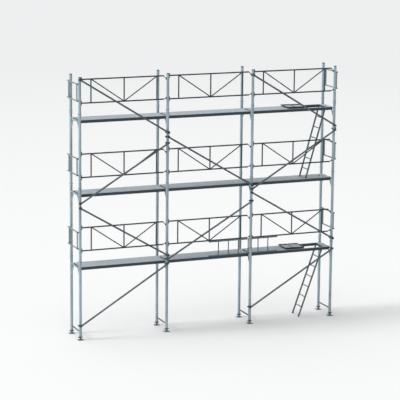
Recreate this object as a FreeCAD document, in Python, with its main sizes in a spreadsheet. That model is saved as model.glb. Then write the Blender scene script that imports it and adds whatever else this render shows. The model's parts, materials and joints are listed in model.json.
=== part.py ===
"""Frame scaffold section: three bays long, three lifts high and one frame wide.

Upright frames stand on base jacks along four lines. Decks hang on the frames' transoms by claws,
guardrails close the front, end guards close both ends, tubes brace the front face, and hatches with
ladders lead from level to level in the last bay.

Origin: on the ground, under the middle of the section. X runs along the bays, Y from the front
posts to the rear posts, Z up. Millimetres.
"""
import FreeCAD, Part
import math
import os
import Sketcher

SIZES = {
    # the grid of the section
    "bay_length": 2500,
    "bay_count": 3,
    "lift_height": 2000,
    "lift_count": 3,
    "frame_width": 740,
    # upright frames
    "post_outer": 76.1,
    "post_wall": 3.2,
    "collar_outer": 84,
    "collar_height": 40,
    "spigot_outer": 69.6,
    "spigot_wall": 4,
    "spigot_sunk": 130,
    "spigot_proud": 120,
    "pin_outer": 11,
    "pin_bore": 11.2,
    "pin_length": 104,
    "pin_height": 75,
    "transom_outer": 48.3,
    "transom_wall": 2.9,
    "transom_drop": 32,
    "knee_outer": 33.7,
    "knee_wall": 2.6,
    "knee_reach": 190,
    "knee_drop": 320,
    "guard_post_length": 1050,
    # base jacks
    "jack_gap": 100,
    "plate_side": 150,
    "plate_thick": 8,
    "plate_hole": 14,
    "plate_hole_pitch": 110,
    "spindle_outer": 54,
    "spindle_wall": 6,
    "spindle_length": 500,
    "nut_outer": 90,
    "nut_bore": 54.2,
    "nut_height": 34,
    "nut_gap": 0.3,
    "wing_span": 150,
    "wing_width": 20,
    "wing_height": 16,
    "tie_outer": 38,
    "tie_wall": 2.6,
    "tie_height": 220,
    # decks
    "deck_inset": 35,
    "deck_width": 610,
    "deck_depth": 80,
    "sheet": 4,
    "flange": 30,
    "rib_width": 40,
    "rib_depth": 30,
    "claw_bore": 49,
    "claw_outer": 61,
    "claw_width": 50,
    "claw_lip": 14,
    # hatch opening, its lid and hinge
    "hatch_start": 1725,
    "hatch_length": 596,
    "hatch_width": 496,
    "trimmer_width": 30,
    "trimmer_depth": 50,
    "ledge_width": 10,
    "ledge_depth": 6,
    "lid_gap": 3,
    "lid_depth": 30,
    "rim_width": 6,
    "ledge_gap": 0.5,
    "barrel_outer": 16,
    "barrel_bore": 8.1,
    "hinge_pin": 8,
    "knuckle": 30,
    "knuckle_gap": 0.5,
    "hinge_rise": 8.5,
    "hinge_place": 120,
    "leaf_length": 40,
    "leaf_thick": 3,
    "lid_open": 179,
    "lid_bar_width": 30,
    "lid_bar_depth": 16,
    # ladders
    "ladder_width": 400,
    "stile_depth": 40,
    "stile_width": 25,
    "stile_wall": 2.5,
    "stile_length": 1964,
    "stile_top": 12,
    "rung_outer": 28,
    "rung_wall": 2,
    "rung_pitch": 300,
    "rung_count": 6,
    "rung_first": 267,
    "lower_reach": 2057,
    "upper_reach": 2014,
    "foot_gap": 1,
    "ladder_drop": 56,
    "ladder_inset": 28,
    "bolt_outer": 10,
    "bolt_bore": 10.2,
    "bolt_head": 17,
    "bolt_head_depth": 7,
    "ear_length": 46,
    "ear_height": 34,
    "ear_thick": 6,
    "ear_gap": 1,
    "stowed_middle": 300,
    "stowed_foot": 3770,
    # guardrails and end guards
    "rail_outer": 38,
    "rail_wall": 2,
    "upright_outer": 36,
    "strut_outer": 30,
    "top_rail": 1100,
    "knee_rail": 467,
    "panel_half": 935,
    "rail_short": 120,
    "top_crank": 80,
    "knee_crank": 28,
    "hook_height": 80,
    "hook_width": 22,
    "hook_reach": 56,
    "saddle_wrap": 4,
    "link_thick": 16,
    "shoe_height": 56,
    "end_offset": 68,
    "end_top_rail": 980,
    "end_knee_rail": 530,
    "end_rail_front": 372,
    "end_rail_rear": 440,
    "end_upright_front": 334,
    "end_upright_rear": 336,
    # braces
    "brace_outer": 48.3,
    "brace_wall": 2.6,
    "brace_offset": 72,
    "brace_over": 40,
    "clamp_bore": 48.7,
    "clamp_outer": 58,
    "clamp_length": 44,
    "saddle_bore": 76.5,
    "saddle_outer": 90,
    "saddle_height": 40,
    "saddle_start": 12,
    "rivet_outer": 26,
}

# Each brace: its bay, and its height over the ground at the bay's left and right frame line.
BRACES = [
    (1, 7090, 5560), (1, 3770, 5270), (1, 3640, 2165), (1, 400, 1930),
    (2, 5440, 3955), (2, 2060, 3510),
    (3, 7010, 5500), (3, 3850, 5360), (3, 3745, 2270), (3, 480, 1965),
]

V = FreeCAD.Vector
UP, ALONG, ACROSS = V(0, 0, 1), V(1, 0, 0), V(0, 1, 0)
HALF_TURN = FreeCAD.Rotation(UP, 180)

doc = FreeCAD.newDocument("frame_scaffold")
sheet = doc.addObject("Spreadsheet::Sheet", "params")
for row, (alias, amount) in enumerate(SIZES.items(), start=1):
    sheet.set(f"A{row}", alias)
    sheet.set(f"B{row}", str(amount))
    sheet.setAlias(f"B{row}", alias)
doc.recompute()


def cell(alias):
    """The number that the sheet holds under one alias."""
    return float(sheet.get(alias))


def amount_of(terms):
    """A length from a plain number, one alias, or a sum of factors times aliases."""
    if isinstance(terms, (int, float)):
        return float(terms)
    if isinstance(terms, str):
        return cell(terms)
    return sum(factor * cell(alias) for alias, factor in terms.items())


def formula(terms):
    """The same length as an expression on the sheet."""
    if isinstance(terms, (int, float)):
        return str(terms)
    if isinstance(terms, str):
        return f"params.{terms}"
    return " + ".join(f"({factor}) * params.{alias}" for alias, factor in terms.items())


def half(alias):
    return {alias: 0.5}


def point(along=0, across=0, up=0):
    return V(amount_of(along), amount_of(across), amount_of(up))


def primitive(kind, label, sizes, base, direction=UP):
    piece = doc.addObject(kind, label)
    for name, expression in sizes.items():
        piece.setExpression(name, expression)
    piece.Placement = FreeCAD.Placement(base, FreeCAD.Rotation(UP, direction))
    return piece


def block(label, length, width, height, corner):
    sizes = {"Length": formula(length), "Width": formula(width), "Height": formula(height)}
    return primitive("Part::Box", label, sizes, corner)


def rod(label, diameter, length, start, direction=UP):
    """A round bar. Its length is terms on the sheet, or a whole expression of them."""
    reach = length if isinstance(length, str) and "params." in length else formula(length)
    sizes = {"Radius": f"params.{diameter} / 2", "Height": reach}
    return primitive("Part::Cylinder", label, sizes, start, direction)


def joined(label, pieces):
    fused = doc.addObject("Part::MultiFuse", label)
    fused.Shapes = pieces
    return fused


def without(label, base, tools):
    """The base piece with one or more tools cut away."""
    cut = doc.addObject("Part::Cut", label)
    cut.Base = base
    cut.Tool = tools[0] if len(tools) == 1 else joined(f"{label}_tools", tools)
    return cut


def pipe(label, diameter, wall, length, start, direction=UP, trims=()):
    """A round tube, trimmed where it butts against other members."""
    outside = rod(f"{label}_outside", diameter, length, start, direction)
    bore = rod(f"{label}_bore", diameter, length, start, direction)
    bore.setExpression("Radius", f"params.{diameter} / 2 - params.{wall}")
    return without(label, outside, [bore, *trims])


def gather(label, members, base=V(), turn=FreeCAD.Rotation()):
    group = doc.addObject("Part::Compound", label)
    group.Links = members
    group.Placement = FreeCAD.Placement(base, turn)
    return group


def origin_plane(body, role):
    return next(plane for plane in body.Origin.OriginFeatures if plane.Role == role)


def outline(body, role, corners):
    """A closed outline of straight sides on one of the body's own planes, bound to the sheet."""
    sketch = body.newObject("Sketcher::SketchObject", f"{body.Name}_outline")
    sketch.AttachmentSupport = (origin_plane(body, role), [""])
    sketch.MapMode = "FlatFace"
    places = [V(amount_of(first), amount_of(second), 0) for first, second in corners]
    count = len(places)
    for number, place in enumerate(places):
        sketch.addGeometry(Part.LineSegment(place, places[(number + 1) % count]), False)
    for number in range(count):
        following = (number + 1) % count
        sketch.addConstraint(Sketcher.Constraint("Coincident", number, 2, following, 1))
    for number, (first, second) in enumerate(corners):
        for kind, terms in (("DistanceX", first), ("DistanceY", second)):
            held = Sketcher.Constraint(kind, -1, 1, number, 1, amount_of(terms))
            place = sketch.addConstraint(held)
            if not isinstance(terms, (int, float)):
                sketch.setExpression(f"Constraints[{place}]", formula(terms))
    return sketch


def padded(label, role, corners, length, midplane=True):
    body = doc.addObject("PartDesign::Body", label)
    pad = body.newObject("PartDesign::Pad", f"{label}_pad")
    pad.Profile = outline(body, role, corners)
    pad.setExpression("Length", formula(length))
    pad.Midplane = midplane
    return body


def revolved(label, corners):
    """A body turned about Z from an outline in the XZ plane."""
    body = doc.addObject("PartDesign::Body", label)
    turning = body.newObject("PartDesign::Revolution", f"{label}_turning")
    turning.Profile = outline(body, "XZ_Plane", corners)
    turning.ReferenceAxis = (origin_plane(body, "Z_Axis"), [""])
    turning.Angle = 360
    return body


# ---------------------------------------------------------------- frames and guard posts

def cross_hole(label, height):
    """The cutter for a locking pin's hole, through a post's axis along X."""
    start = point({"pin_length": -0.5}, 0, height)
    return rod(label, "pin_bore", "pin_length", start, ALONG)


def post(label, length):
    """A post: a tube with a swaged collar at its foot and a cross hole for the locking pin."""
    bore = {"post_outer": 0.5, "post_wall": -1}
    tube = revolved(f"{label}_tube", [
        (bore, 0),
        (half("collar_outer"), 0),
        (half("collar_outer"), {"collar_height": 0.85}),
        (half("post_outer"), "collar_height"),
        (half("post_outer"), length),
        (bore, length),
    ])
    return without(label, tube, [cross_hole(f"{label}_hole", "pin_height")])


def spigot(label, post_length):
    length = {"spigot_sunk": 1, "spigot_proud": 1}
    start = point(0, 0, post_length) - point(0, 0, "spigot_sunk")
    hole = cross_hole(f"{label}_hole", "pin_height")
    hole.Placement.Base += point(0, 0, post_length)
    return pipe(label, "spigot_outer", "spigot_wall", length, start, UP, [hole])


def both_sides(label, piece):
    """One piece at the front post and its mirror twin at the rear post."""
    front = gather(f"{label}_front", [piece], point(0, {"frame_width": -0.5}))
    rear = gather(f"{label}_rear", [piece], point(0, half("frame_width")), HALF_TURN)
    return [front, rear]


def upright_frame():
    """Two posts, the transom that carries the decks, and a knee brace under each of its ends."""
    front = {"frame_width": -0.5}
    posts = both_sides("frame_post", post("frame_post", "lift_height"))
    spigots = both_sides("frame_spigot", spigot("frame_spigot", "lift_height"))
    transom_up = {"lift_height": 1, "jack_gap": -1, "transom_drop": -1}
    solid_posts = [
        rod("post_cutter", "post_outer", "lift_height", point(0, place)) for place in
        (front, half("frame_width"))
    ]
    transom_start = point(0, front, transom_up)
    transom = pipe("transom", "transom_outer", "transom_wall", "frame_width",
                   transom_start, ACROSS, solid_posts)
    solid_transom = rod("transom_cutter", "transom_outer", "frame_width", transom_start, ACROSS)
    foot = transom_start - point(0, 0, "knee_drop")
    head = transom_start + point(0, "knee_reach")
    knee_length = "sqrt(params.knee_drop ^ 2 + params.knee_reach ^ 2)"
    knee = pipe("knee_brace", "knee_outer", "knee_wall", knee_length, foot, head - foot,
                [solid_posts[0], solid_transom])
    far_knee = gather("far_knee_brace", [knee], V(), HALF_TURN)
    return [*posts, *spigots, transom, knee, far_knee]


def guard_posts():
    return both_sides("guard_post", post("guard_post", "guard_post_length"))


# ---------------------------------------------------------------- base jacks

def base_jack():
    """A base plate with four nail holes, and the spindle that stands on it."""
    edge = half("plate_side")
    near = {"plate_side": -0.5}
    plate = padded("base_plate_blank", "XY_Plane",
                   [(near, near), (edge, near), (edge, edge), (near, edge)],
                   "plate_thick", midplane=False)
    pitch = {"plate_hole_pitch": 0.5}
    back = {"plate_hole_pitch": -0.5}
    holes = [
        rod("nail_hole", "plate_hole", "plate_thick", point(along, across))
        for along in (back, pitch) for across in (back, pitch)
    ]
    drilled = without("base_plate", plate, holes)
    spindle = pipe("spindle", "spindle_outer", "spindle_wall", "spindle_length",
                   point(0, 0, "plate_thick"))
    return [drilled, spindle]


def jack_nut():
    """A round nut with two wings, its top face at the height of the frame's foot."""
    low = {"jack_gap": 1, "nut_gap": -1, "nut_height": -1}
    ring = rod("nut_ring", "nut_outer", "nut_height", point(0, 0, low))
    wings = block("nut_wings", "wing_span", "wing_width", "wing_height",
                  point({"wing_span": -0.5}, {"wing_width": -0.5}, low))
    bore = rod("nut_bore", "nut_bore", "nut_height", point(0, 0, low))
    return [without("nut", joined("nut_blank", [ring, wings]), [bore])]


def base_tie():
    """A tube from post to post, low down, cut to fit against both."""
    start = point(0, {"frame_width": -0.5}, "tie_height")
    cutters = [
        rod("tie_post_cutter", "post_outer", "lift_height", point(0, place)) for place in
        ({"frame_width": -0.5}, half("frame_width"))
    ]
    return [pipe("tie", "tie_outer", "tie_wall", "frame_width", start, ACROSS, cutters)]


# ---------------------------------------------------------------- decks

def claw():
    """A hook over the transom: origin on the transom's axis, the deck on the +X side."""
    near = {"claw_width": -0.5}
    depth = half("claw_outer")
    round_part = rod("claw_round", "claw_outer", "claw_width", point(0, near), ACROSS)
    root = block("claw_root", "deck_inset", "claw_width", "claw_outer",
                 point(0, near, {"claw_outer": -0.5}))
    bore = rod("claw_bore", "claw_bore", "claw_width", point(0, near), ACROSS)
    throat = block("claw_throat", "claw_bore", "claw_width", depth,
                   point({"claw_bore": -0.5}, near, {"claw_outer": -0.5}))
    under = block("claw_under", depth, "claw_width", {"claw_outer": 0.5, "claw_lip": -1},
                  point({"claw_outer": -0.5}, near, {"claw_outer": -0.5}))
    return without("claw", joined("claw_blank", [round_part, root]), [bore, throat, under])


def side_rail():
    """A channel along the deck's front edge, its flanges turned inwards."""
    edge = {"deck_width": -0.5}
    web = {"deck_width": -0.5, "sheet": 1}
    lip = {"deck_width": -0.5, "flange": 1}
    top = {"sheet": -1}
    top_in = {"sheet": -2}
    low_in = {"deck_depth": -1, "sheet": 1}
    low = {"deck_depth": -1}
    return padded("side_rail", "YZ_Plane",
                  [(edge, low), (lip, low), (lip, low_in), (web, low_in),
                   (web, top_in), (lip, top_in), (lip, top), (edge, top)],
                  {"bay_length": 1, "deck_inset": -2, "sheet": -2})


def deck_frame(claw_piece, rail):
    """What all decks share: side rails, end plates and claws. Origin: left line, deck's top."""
    middle = point(half("bay_length"))
    rails = [gather("front_rail", [rail], middle), gather("rear_rail", [rail], middle, HALF_TURN)]
    plate_depth = {"deck_depth": 1, "sheet": -1}
    near = {"deck_width": -0.5}
    ends = [
        block("end_plate", "sheet", "deck_width", plate_depth, point(start, near, {"deck_depth": -1}))
        for start in ("deck_inset", {"bay_length": 1, "deck_inset": -1, "sheet": -1})
    ]
    drop = {"transom_drop": -1}
    left_claws = [
        gather("left_claw", [claw_piece], point(0, place, drop)) for place in
        ({"deck_width": -0.36}, {"deck_width": 0.36})
    ]
    right_claws = [
        gather("right_claw", [claw_piece], point("bay_length", place, drop), HALF_TURN) for place in
        ({"deck_width": -0.26}, {"deck_width": 0.26})
    ]
    return [*rails, *ends, *left_claws, *right_claws]


def rib(start):
    width = {"deck_width": 1, "flange": -2}
    low = {"sheet": -1, "rib_depth": -1}
    corner = point(start, {"deck_width": -0.5, "flange": 1}, low)
    return block("rib", "rib_width", width, "rib_depth", corner)


def plain_deck(shared):
    length = {"bay_length": 1, "deck_inset": -2}
    corner = point("deck_inset", {"deck_width": -0.5}, {"sheet": -1})
    plank = block("plank", length, "deck_width", "sheet", corner)
    ribs = [rib({"bay_length": share}) for share in (0.25, 0.5, 0.75)]
    return [plank, *ribs, *shared]


def barrel(label, start, length, leaf_side):
    """A hinge knuckle on the axis at the origin, with its leaf to one side and level below."""
    round_part = rod(f"{label}_round", "barrel_outer", length, point(0, start), ACROSS)
    leaf_start = {"leaf_length": -1} if leaf_side < 0 else 0
    leaf = block(f"{label}_leaf", "leaf_length", length, "leaf_thick",
                 point(leaf_start, start, {"barrel_outer": -0.5}))
    bore = rod(f"{label}_bore", "barrel_bore", length, point(0, start), ACROSS)
    return without(label, joined(f"{label}_blank", [round_part, leaf]), [bore])


def hinge_barrels(label, spots, length, leaf_side):
    """Knuckles at each start in spots, for the front hinge and again for the rear one."""
    made = [barrel(label, start, length, leaf_side) for start in spots]
    near = gather(f"{label}_near", made, point(0, {"hinge_place": -1}))
    far = gather(f"{label}_far", made, point(0, "hinge_place"))
    return [near, far]


def hatch_deck(shared):
    """A deck with a framed opening, ledges for the lid, hinge knuckles and ladder ears."""
    edge = {"deck_width": -0.5}
    inner = {"deck_width": -0.5, "flange": 1}
    top = {"sheet": -1}
    hatch_end = {"hatch_start": 1, "hatch_length": 1}
    right_length = {"bay_length": 1, "deck_inset": -1, "hatch_start": -1, "hatch_length": -1}
    strip = {"deck_width": 0.5, "hatch_width": -0.5}
    panels = [
        block("left_panel", {"hatch_start": 1, "deck_inset": -1}, "deck_width", "sheet",
              point("deck_inset", edge, top)),
        block("right_panel", right_length, "deck_width", "sheet", point(hatch_end, edge, top)),
        block("front_strip", "hatch_length", strip, "sheet", point("hatch_start", edge, top)),
        block("rear_strip", "hatch_length", strip, "sheet",
              point("hatch_start", half("hatch_width"), top)),
    ]
    under = {"sheet": -1, "trimmer_depth": -1}
    between = {"deck_width": 1, "flange": -2}
    cross = [
        block("cross_trimmer", "trimmer_width", between, "trimmer_depth", point(start, inner, under))
        for start in ({"hatch_start": 1, "trimmer_width": -1}, hatch_end)
    ]
    long_width = {"deck_width": 0.5, "flange": -1, "hatch_width": -0.5}
    long_trimmers = [
        block("long_trimmer", "hatch_length", long_width, "trimmer_depth",
              point("hatch_start", place, under))
        for place in (inner, half("hatch_width"))
    ]
    ledge_up = {"lid_depth": -1, "ledge_gap": -1, "ledge_depth": -1}
    ledges = [
        block("ledge", "hatch_length", "ledge_width", "ledge_depth",
              point("hatch_start", place, ledge_up))
        for place in ({"hatch_width": -0.5}, {"hatch_width": 0.5, "ledge_width": -1})
    ]
    knuckles = hinge_barrels("deck_knuckle", [{"knuckle": -1.5}, {"knuckle": 0.5}],
                             {"knuckle": 1, "knuckle_gap": -1}, -1)
    hinge = point("hatch_start", 0, "hinge_rise")
    hinge_part = gather("deck_hinge", [*knuckles], hinge)
    leaf_shim = [
        block("leaf_pad", {"leaf_length": 1, "barrel_outer": -0.5}, {"knuckle": 3},
              {"hinge_rise": 1, "barrel_outer": -0.5},
              point({"hatch_start": 1, "leaf_length": -1}, {"hinge_place": side, "knuckle": -1.5}))
        for side in (-1, 1)
    ]
    ears = [ladder_ear(side) for side in (-1, 1)]
    ribs = [rib({"bay_length": share}) for share in (0.2, 0.45)]
    return [*panels, *cross, *long_trimmers, *ledges, hinge_part, *leaf_shim, *ears, *ribs, *shared]


def ladder_ear(side):
    """A drilled ear on the opening's right-hand trimmer, outside one stile of the ladder."""
    hatch_end = {"hatch_start": 1, "hatch_length": 1}
    outside = {"ladder_width": 0.5, "stile_width": 0.5, "ear_gap": 1}
    start = amount_of(outside) if side > 0 else -amount_of({**outside, "ear_thick": 1})
    low = {"ladder_drop": -1, "ear_height": -0.5}
    corner = point(hatch_end, 0, low) - point("ear_length") + V(0, start, 0)
    plate = block("ear_plate", "ear_length", "ear_thick", "ear_height", corner)
    axis = point({**hatch_end, "ladder_inset": -1}, 0, {"ladder_drop": -1})
    hole = rod("ear_hole", "bolt_bore", "ear_thick", axis + V(0, start, 0), ACROSS)
    return without("ladder_ear", plate, [hole])


def hatch_lid():
    """The lid, shut, with its hinge axis at the origin: plate, rim bars, cross bar, knuckles."""
    start = "lid_gap"
    length = {"hatch_length": 1, "lid_gap": -2}
    width = {"hatch_width": 1, "lid_gap": -2}
    near = {"hatch_width": -0.5, "lid_gap": 1}
    top = {"hinge_rise": -1}
    plate_up = {"hinge_rise": -1, "sheet": -1}
    rim_up = {"hinge_rise": -1, "lid_depth": -1}
    rim_depth = {"lid_depth": 1, "sheet": -1}
    plate = block("lid_plate", length, width, "sheet", point(start, near, plate_up))
    long_rims = [
        block("long_rim", length, "rim_width", rim_depth, point(start, place, rim_up))
        for place in (near, {"hatch_width": 0.5, "lid_gap": -1, "rim_width": -1})
    ]
    short_width = {"hatch_width": 1, "lid_gap": -2, "rim_width": -2}
    short_near = {"hatch_width": -0.5, "lid_gap": 1, "rim_width": 1}
    short_rims = [
        block("short_rim", "rim_width", short_width, rim_depth, point(place, short_near, rim_up))
        for place in (start, {"hatch_length": 1, "lid_gap": -1, "rim_width": -1})
    ]
    knuckles = hinge_barrels("lid_knuckle", [{"knuckle": -0.5}],
                             {"knuckle": 1, "knuckle_gap": -1}, 1)
    leaf_pads = [
        block("lid_leaf_pad", {"leaf_length": 1, "barrel_outer": -0.5},
              {"knuckle": 1, "knuckle_gap": -1}, {"hinge_rise": 1, "barrel_outer": -0.5},
              point(half("barrel_outer"), {"hinge_place": side, "knuckle": -0.5}, top))
        for side in (-1, 1)
    ]
    bar_up = {"hinge_rise": -1, "sheet": -1, "lid_bar_depth": -1}
    bar = block("lid_bar", "lid_bar_width", short_width, "lid_bar_depth",
                point(half("hatch_length"), short_near, bar_up))
    return [plate, *long_rims, *short_rims, *knuckles, *leaf_pads, bar]


# ---------------------------------------------------------------- ladders

def ladder(label, reach):
    """A ladder that hangs down from its hinge axis at the origin; reach is axis to foot."""
    bottom = -cell("stile_length")
    near = {"stile_width": -0.5}
    stile_box = block(f"{label}_stile_box", "stile_depth", "stile_width",
                      {"stile_length": 1, "stile_top": 1},
                      point({"stile_depth": -0.5}, near) + V(0, 0, bottom))
    hollow = block(f"{label}_stile_hollow", {"stile_depth": 1, "stile_wall": -2},
                   {"stile_width": 1, "stile_wall": -2},
                   {"stile_length": 1, "rung_first": -1},
                   point({"stile_depth": -0.5, "stile_wall": 1},
                         {"stile_width": -0.5, "stile_wall": 1}) + V(0, 0, bottom))
    bolt_hole = rod(f"{label}_bolt_hole", "bolt_bore", "stile_width", point(0, near), ACROSS)
    stile = without(f"{label}_stile", stile_box, [hollow, bolt_hole])
    shoe_height = reach - cell("stile_length")
    shoe = doc.addObject("Part::Box", f"{label}_shoe")
    shoe.setExpression("Length", "params.stile_depth")
    shoe.setExpression("Width", "params.stile_width")
    shoe.Height = shoe_height
    shoe.Placement.Base = point({"stile_depth": -0.5}, near) - V(0, 0, reach)
    side = [stile, shoe]
    stiles = [
        gather(f"{label}_side", side, point(0, {"ladder_width": place})) for place in (-0.5, 0.5)
    ]
    rungs = []
    for number in range(int(cell("rung_count"))):
        height = -cell("rung_first") - number * cell("rung_pitch")
        start = point(0, {"ladder_width": -0.5, "stile_width": 0.5}) + V(0, 0, height)
        rungs.append(pipe(f"{label}_rung", "rung_outer", "rung_wall",
                          {"ladder_width": 1, "stile_width": -1}, start, ACROSS))
    return [*stiles, *rungs]


def ladder_lean(reach):
    """The angle from upright at which the foot's lower edge just clears what it stands on."""
    rise = cell("lift_height") - cell("ladder_drop") - cell("foot_gap")
    half_depth = cell("stile_depth") / 2
    straight = math.degrees(math.acos(rise / math.hypot(reach, half_depth)))
    return straight + math.degrees(math.atan(half_depth / reach))


# ---------------------------------------------------------------- guardrails

def long_rail(height):
    """One rail of a front panel, from its hook at the left post to its link at the right."""
    length = {"bay_length": 1, "hook_reach": -1, "rail_short": -1}
    return pipe("rail", "rail_outer", "rail_wall", length, point("hook_reach", 0, height), ALONG)


def post_hook(height):
    """A plate that bears on the post beside it, hollowed to the post's round."""
    low = point({"post_outer": 0.5, "saddle_wrap": -1}, {"hook_width": -0.5}, height)
    low -= point(0, 0, half("hook_height"))
    length = {"hook_reach": 1, "post_outer": -0.5, "saddle_wrap": 1}
    plate = block("rail_hook_plate", length, "hook_width", "hook_height", low)
    post_bore = rod("rail_hook_post", "saddle_bore", "hook_height", V(0, 0, low.z))
    return without("rail_hook", plate, [post_bore])


def link(height, crank, sense):
    """The cranked strap from a rail's short end to a shoe on the next post."""
    start = point({"bay_length": 1, "rail_short": -1}, 0, height)
    run = {"rail_short": 1, "post_outer": -0.5, "link_thick": -1}
    finish = start + point(run, 0, {crank: sense})
    turn = FreeCAD.Rotation(ALONG, finish - start)
    strap = block("link_strap", 0, "hook_width", "link_thick", V())
    strap.setExpression("Length", f"sqrt(({formula(run)}) ^ 2 + params.{crank} ^ 2)")
    offset = turn.multVec(point(0, {"hook_width": -0.5}, {"link_thick": -0.5}))
    strap.Placement = FreeCAD.Placement(start + offset, turn)
    side = {"rail_outer": -0.5}
    rail_end = block("link_rail_end", "rail_short", "rail_outer", "rail_outer",
                     start + point({"rail_short": -1}, side, side))
    shoe_low = finish + point(0, {"hook_width": -0.5}, {"shoe_height": -0.5})
    shoe_length = {"link_thick": 1, "saddle_wrap": 2}
    shoe = block("link_shoe", shoe_length, "hook_width", "shoe_height", shoe_low)
    post_bore = rod("link_post", "saddle_bore", "shoe_height",
                    V(cell("bay_length"), 0, shoe_low.z))
    return without("link", joined("link_blank", [strap, shoe]), [rail_end, post_bore])


def front_guardrail():
    """A panel of two rails, three uprights and two struts in a V. Origin: left line, deck top."""
    solid_rails = [
        rod("rail_cutter", "rail_outer", "bay_length", point(0, 0, height), ALONG)
        for height in ("top_rail", "knee_rail")
    ]
    rails = [long_rail("top_rail"), long_rail("knee_rail")]
    gap = {"top_rail": 1, "knee_rail": -1}
    places = [{"bay_length": 0.5, "panel_half": side} for side in (-1, 0, 1)]
    uprights = [
        rod("upright_bar", "upright_outer", gap, point(place, 0, "knee_rail")) for place in places
    ]
    fitted = [without("upright", bar, solid_rails) for bar in uprights]
    strut_length = "sqrt(params.panel_half ^ 2 + (params.top_rail - params.knee_rail) ^ 2)"
    foot = point(places[1], 0, "knee_rail")
    struts = []
    for side in (0, 2):
        head = point(places[side], 0, "top_rail")
        bar = rod("strut_bar", "strut_outer", strut_length, foot, head - foot)
        struts.append(without("strut", bar, [*solid_rails, uprights[1], uprights[side]]))
    hooks = [post_hook(height) for height in ("top_rail", "knee_rail")]
    links = [link("top_rail", "top_crank", -1), link("knee_rail", "knee_crank", 1)]
    return [*rails, *fitted, *struts, *hooks, *links]


def end_guard():
    """A two-rail guard across one end, outside the posts. Origin: frame line, deck top."""
    rail_length = {"end_rail_front": 1, "end_rail_rear": 1}
    heights = ("end_top_rail", "end_knee_rail")
    rails = [
        pipe("end_rail", "rail_outer", "rail_wall", rail_length,
             point("end_offset", {"end_rail_front": -1}, height), ACROSS)
        for height in heights
    ]
    solid_rails = [
        rod("end_rail_cutter", "rail_outer", rail_length,
            point("end_offset", {"end_rail_front": -1}, height), ACROSS) for height in heights
    ]
    gap = {"end_top_rail": 1, "end_knee_rail": -1}
    uprights = [
        without("end_upright",
                rod("end_upright_bar", "upright_outer", gap,
                    point("end_offset", place, "end_knee_rail")), solid_rails)
        for place in ({"end_upright_front": -1}, "end_upright_rear")
    ]
    hooks = []
    for place in ({"frame_width": -0.5}, {"frame_width": 0.5}):
        cutter = rod("end_hook_post", "saddle_bore", "lift_height", point(0, place))
        for height in heights:
            low = point(half("post_outer"), place, height)
            low -= point("saddle_wrap", half("hook_width"), half("rail_outer"))
            length = {"end_offset": 1, "post_outer": -0.5, "saddle_wrap": 1}
            plate = block("end_hook_plate", length, "hook_width", "rail_outer", low)
            hooks.append(without("end_hook", plate, [cutter, *solid_rails]))
    return [*rails, *uprights, *hooks]


# ---------------------------------------------------------------- braces

def brace(left, right):
    """A diagonal tube over one bay, and its direction. Origin: left line, on the ground."""
    rise = right - left
    slope = V(cell("bay_length"), 0, rise)
    slope.normalize()
    over = slope * cell("brace_over")
    start = V(0, 0, left) - over
    length = f"sqrt(params.bay_length ^ 2 + ({rise}) ^ 2) + 2 * params.brace_over"
    tube = pipe("brace", "brace_outer", "brace_wall", length, start, slope)
    return tube, slope


def coupler(slope):
    """A clamp round the brace riveted to a saddle on the post. Origin: on the brace's axis."""
    behind = cell("brace_offset")
    clamp = rod("clamp_round", "clamp_outer", "clamp_length",
                slope * (-cell("clamp_length") / 2), slope)
    rivet = rod("clamp_rivet", "rivet_outer", {"brace_offset": 1, "post_outer": -0.5}, V(), ACROSS)
    low = point(0, "brace_offset", {"saddle_height": -0.5})
    saddle = rod("saddle_round", "saddle_outer", "saddle_height", low)
    keep = block("saddle_keep", "saddle_outer", {"saddle_outer": 0.5, "saddle_start": -1},
                 "saddle_height",
                 V(-cell("saddle_outer") / 2, behind - cell("saddle_outer") / 2, low.z))
    outer_saddle = doc.addObject("Part::Common", "saddle")
    outer_saddle.Base = saddle
    outer_saddle.Tool = keep
    bore = rod("clamp_bore", "clamp_bore", "clamp_length",
               slope * (-cell("clamp_length") / 2), slope)
    post_bore = rod("saddle_bore", "saddle_bore", "saddle_height", low)
    return without("coupler", joined("coupler_blank", [clamp, rivet, outer_saddle]),
                   [bore, post_bore])


# ---------------------------------------------------------------- fasteners

def locking_pin():
    start = point({"pin_length": -0.5}, 0, "pin_height")
    return rod("locking_pin", "pin_outer", "pin_length", start, ALONG)


def hinge_pin():
    length = {"knuckle": 3, "knuckle_gap": 2}
    return rod("hinge_pin", "hinge_pin", length, point(0, {"knuckle": -1.5}), ACROSS)


def hinge_bolt():
    """A bolt through one ear and stile, head outwards, pointing to -Y from its head."""
    shank_length = {"ear_thick": 1, "ear_gap": 1, "stile_width": 1}
    shank = rod("bolt_shank", "bolt_outer", shank_length, V(), ACROSS)
    head = rod("bolt_head", "bolt_head", "bolt_head_depth", V(), -ACROSS)
    return joined("hinge_bolt", [shank, head])


# ---------------------------------------------------------------- the whole section

nodes = []
bays = range(1, int(cell("bay_count")) + 1)
lifts = range(1, int(cell("lift_count")) + 1)
lines = range(1, len(bays) + 2)
front_y = -cell("frame_width") / 2
sides = {"front": front_y, "rear": -front_y}


def line_x(line):
    return (line - 1 - len(bays) / 2) * cell("bay_length")


def deck_z(level):
    return level * cell("lift_height")


jack_parts = base_jack()
nut_parts = jack_nut()
for line in lines:
    for side, across in sides.items():
        foot = V(line_x(line), across, 0)
        nodes.append(gather(f"jack_line_{line}_{side}", jack_parts, foot))
        nodes.append(gather(f"jack_nut_line_{line}_{side}", nut_parts, foot))

frame_parts = upright_frame()
for line in lines:
    for lift in lifts:
        foot = V(line_x(line), 0, deck_z(lift - 1) + cell("jack_gap"))
        nodes.append(gather(f"frame_line_{line}_lift_{lift}", frame_parts, foot))

top_foot = deck_z(len(lifts)) + cell("jack_gap")
guard_post_parts = guard_posts()
for line in lines:
    nodes.append(gather(f"guard_posts_line_{line}", guard_post_parts, V(line_x(line), 0, top_foot)))

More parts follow.
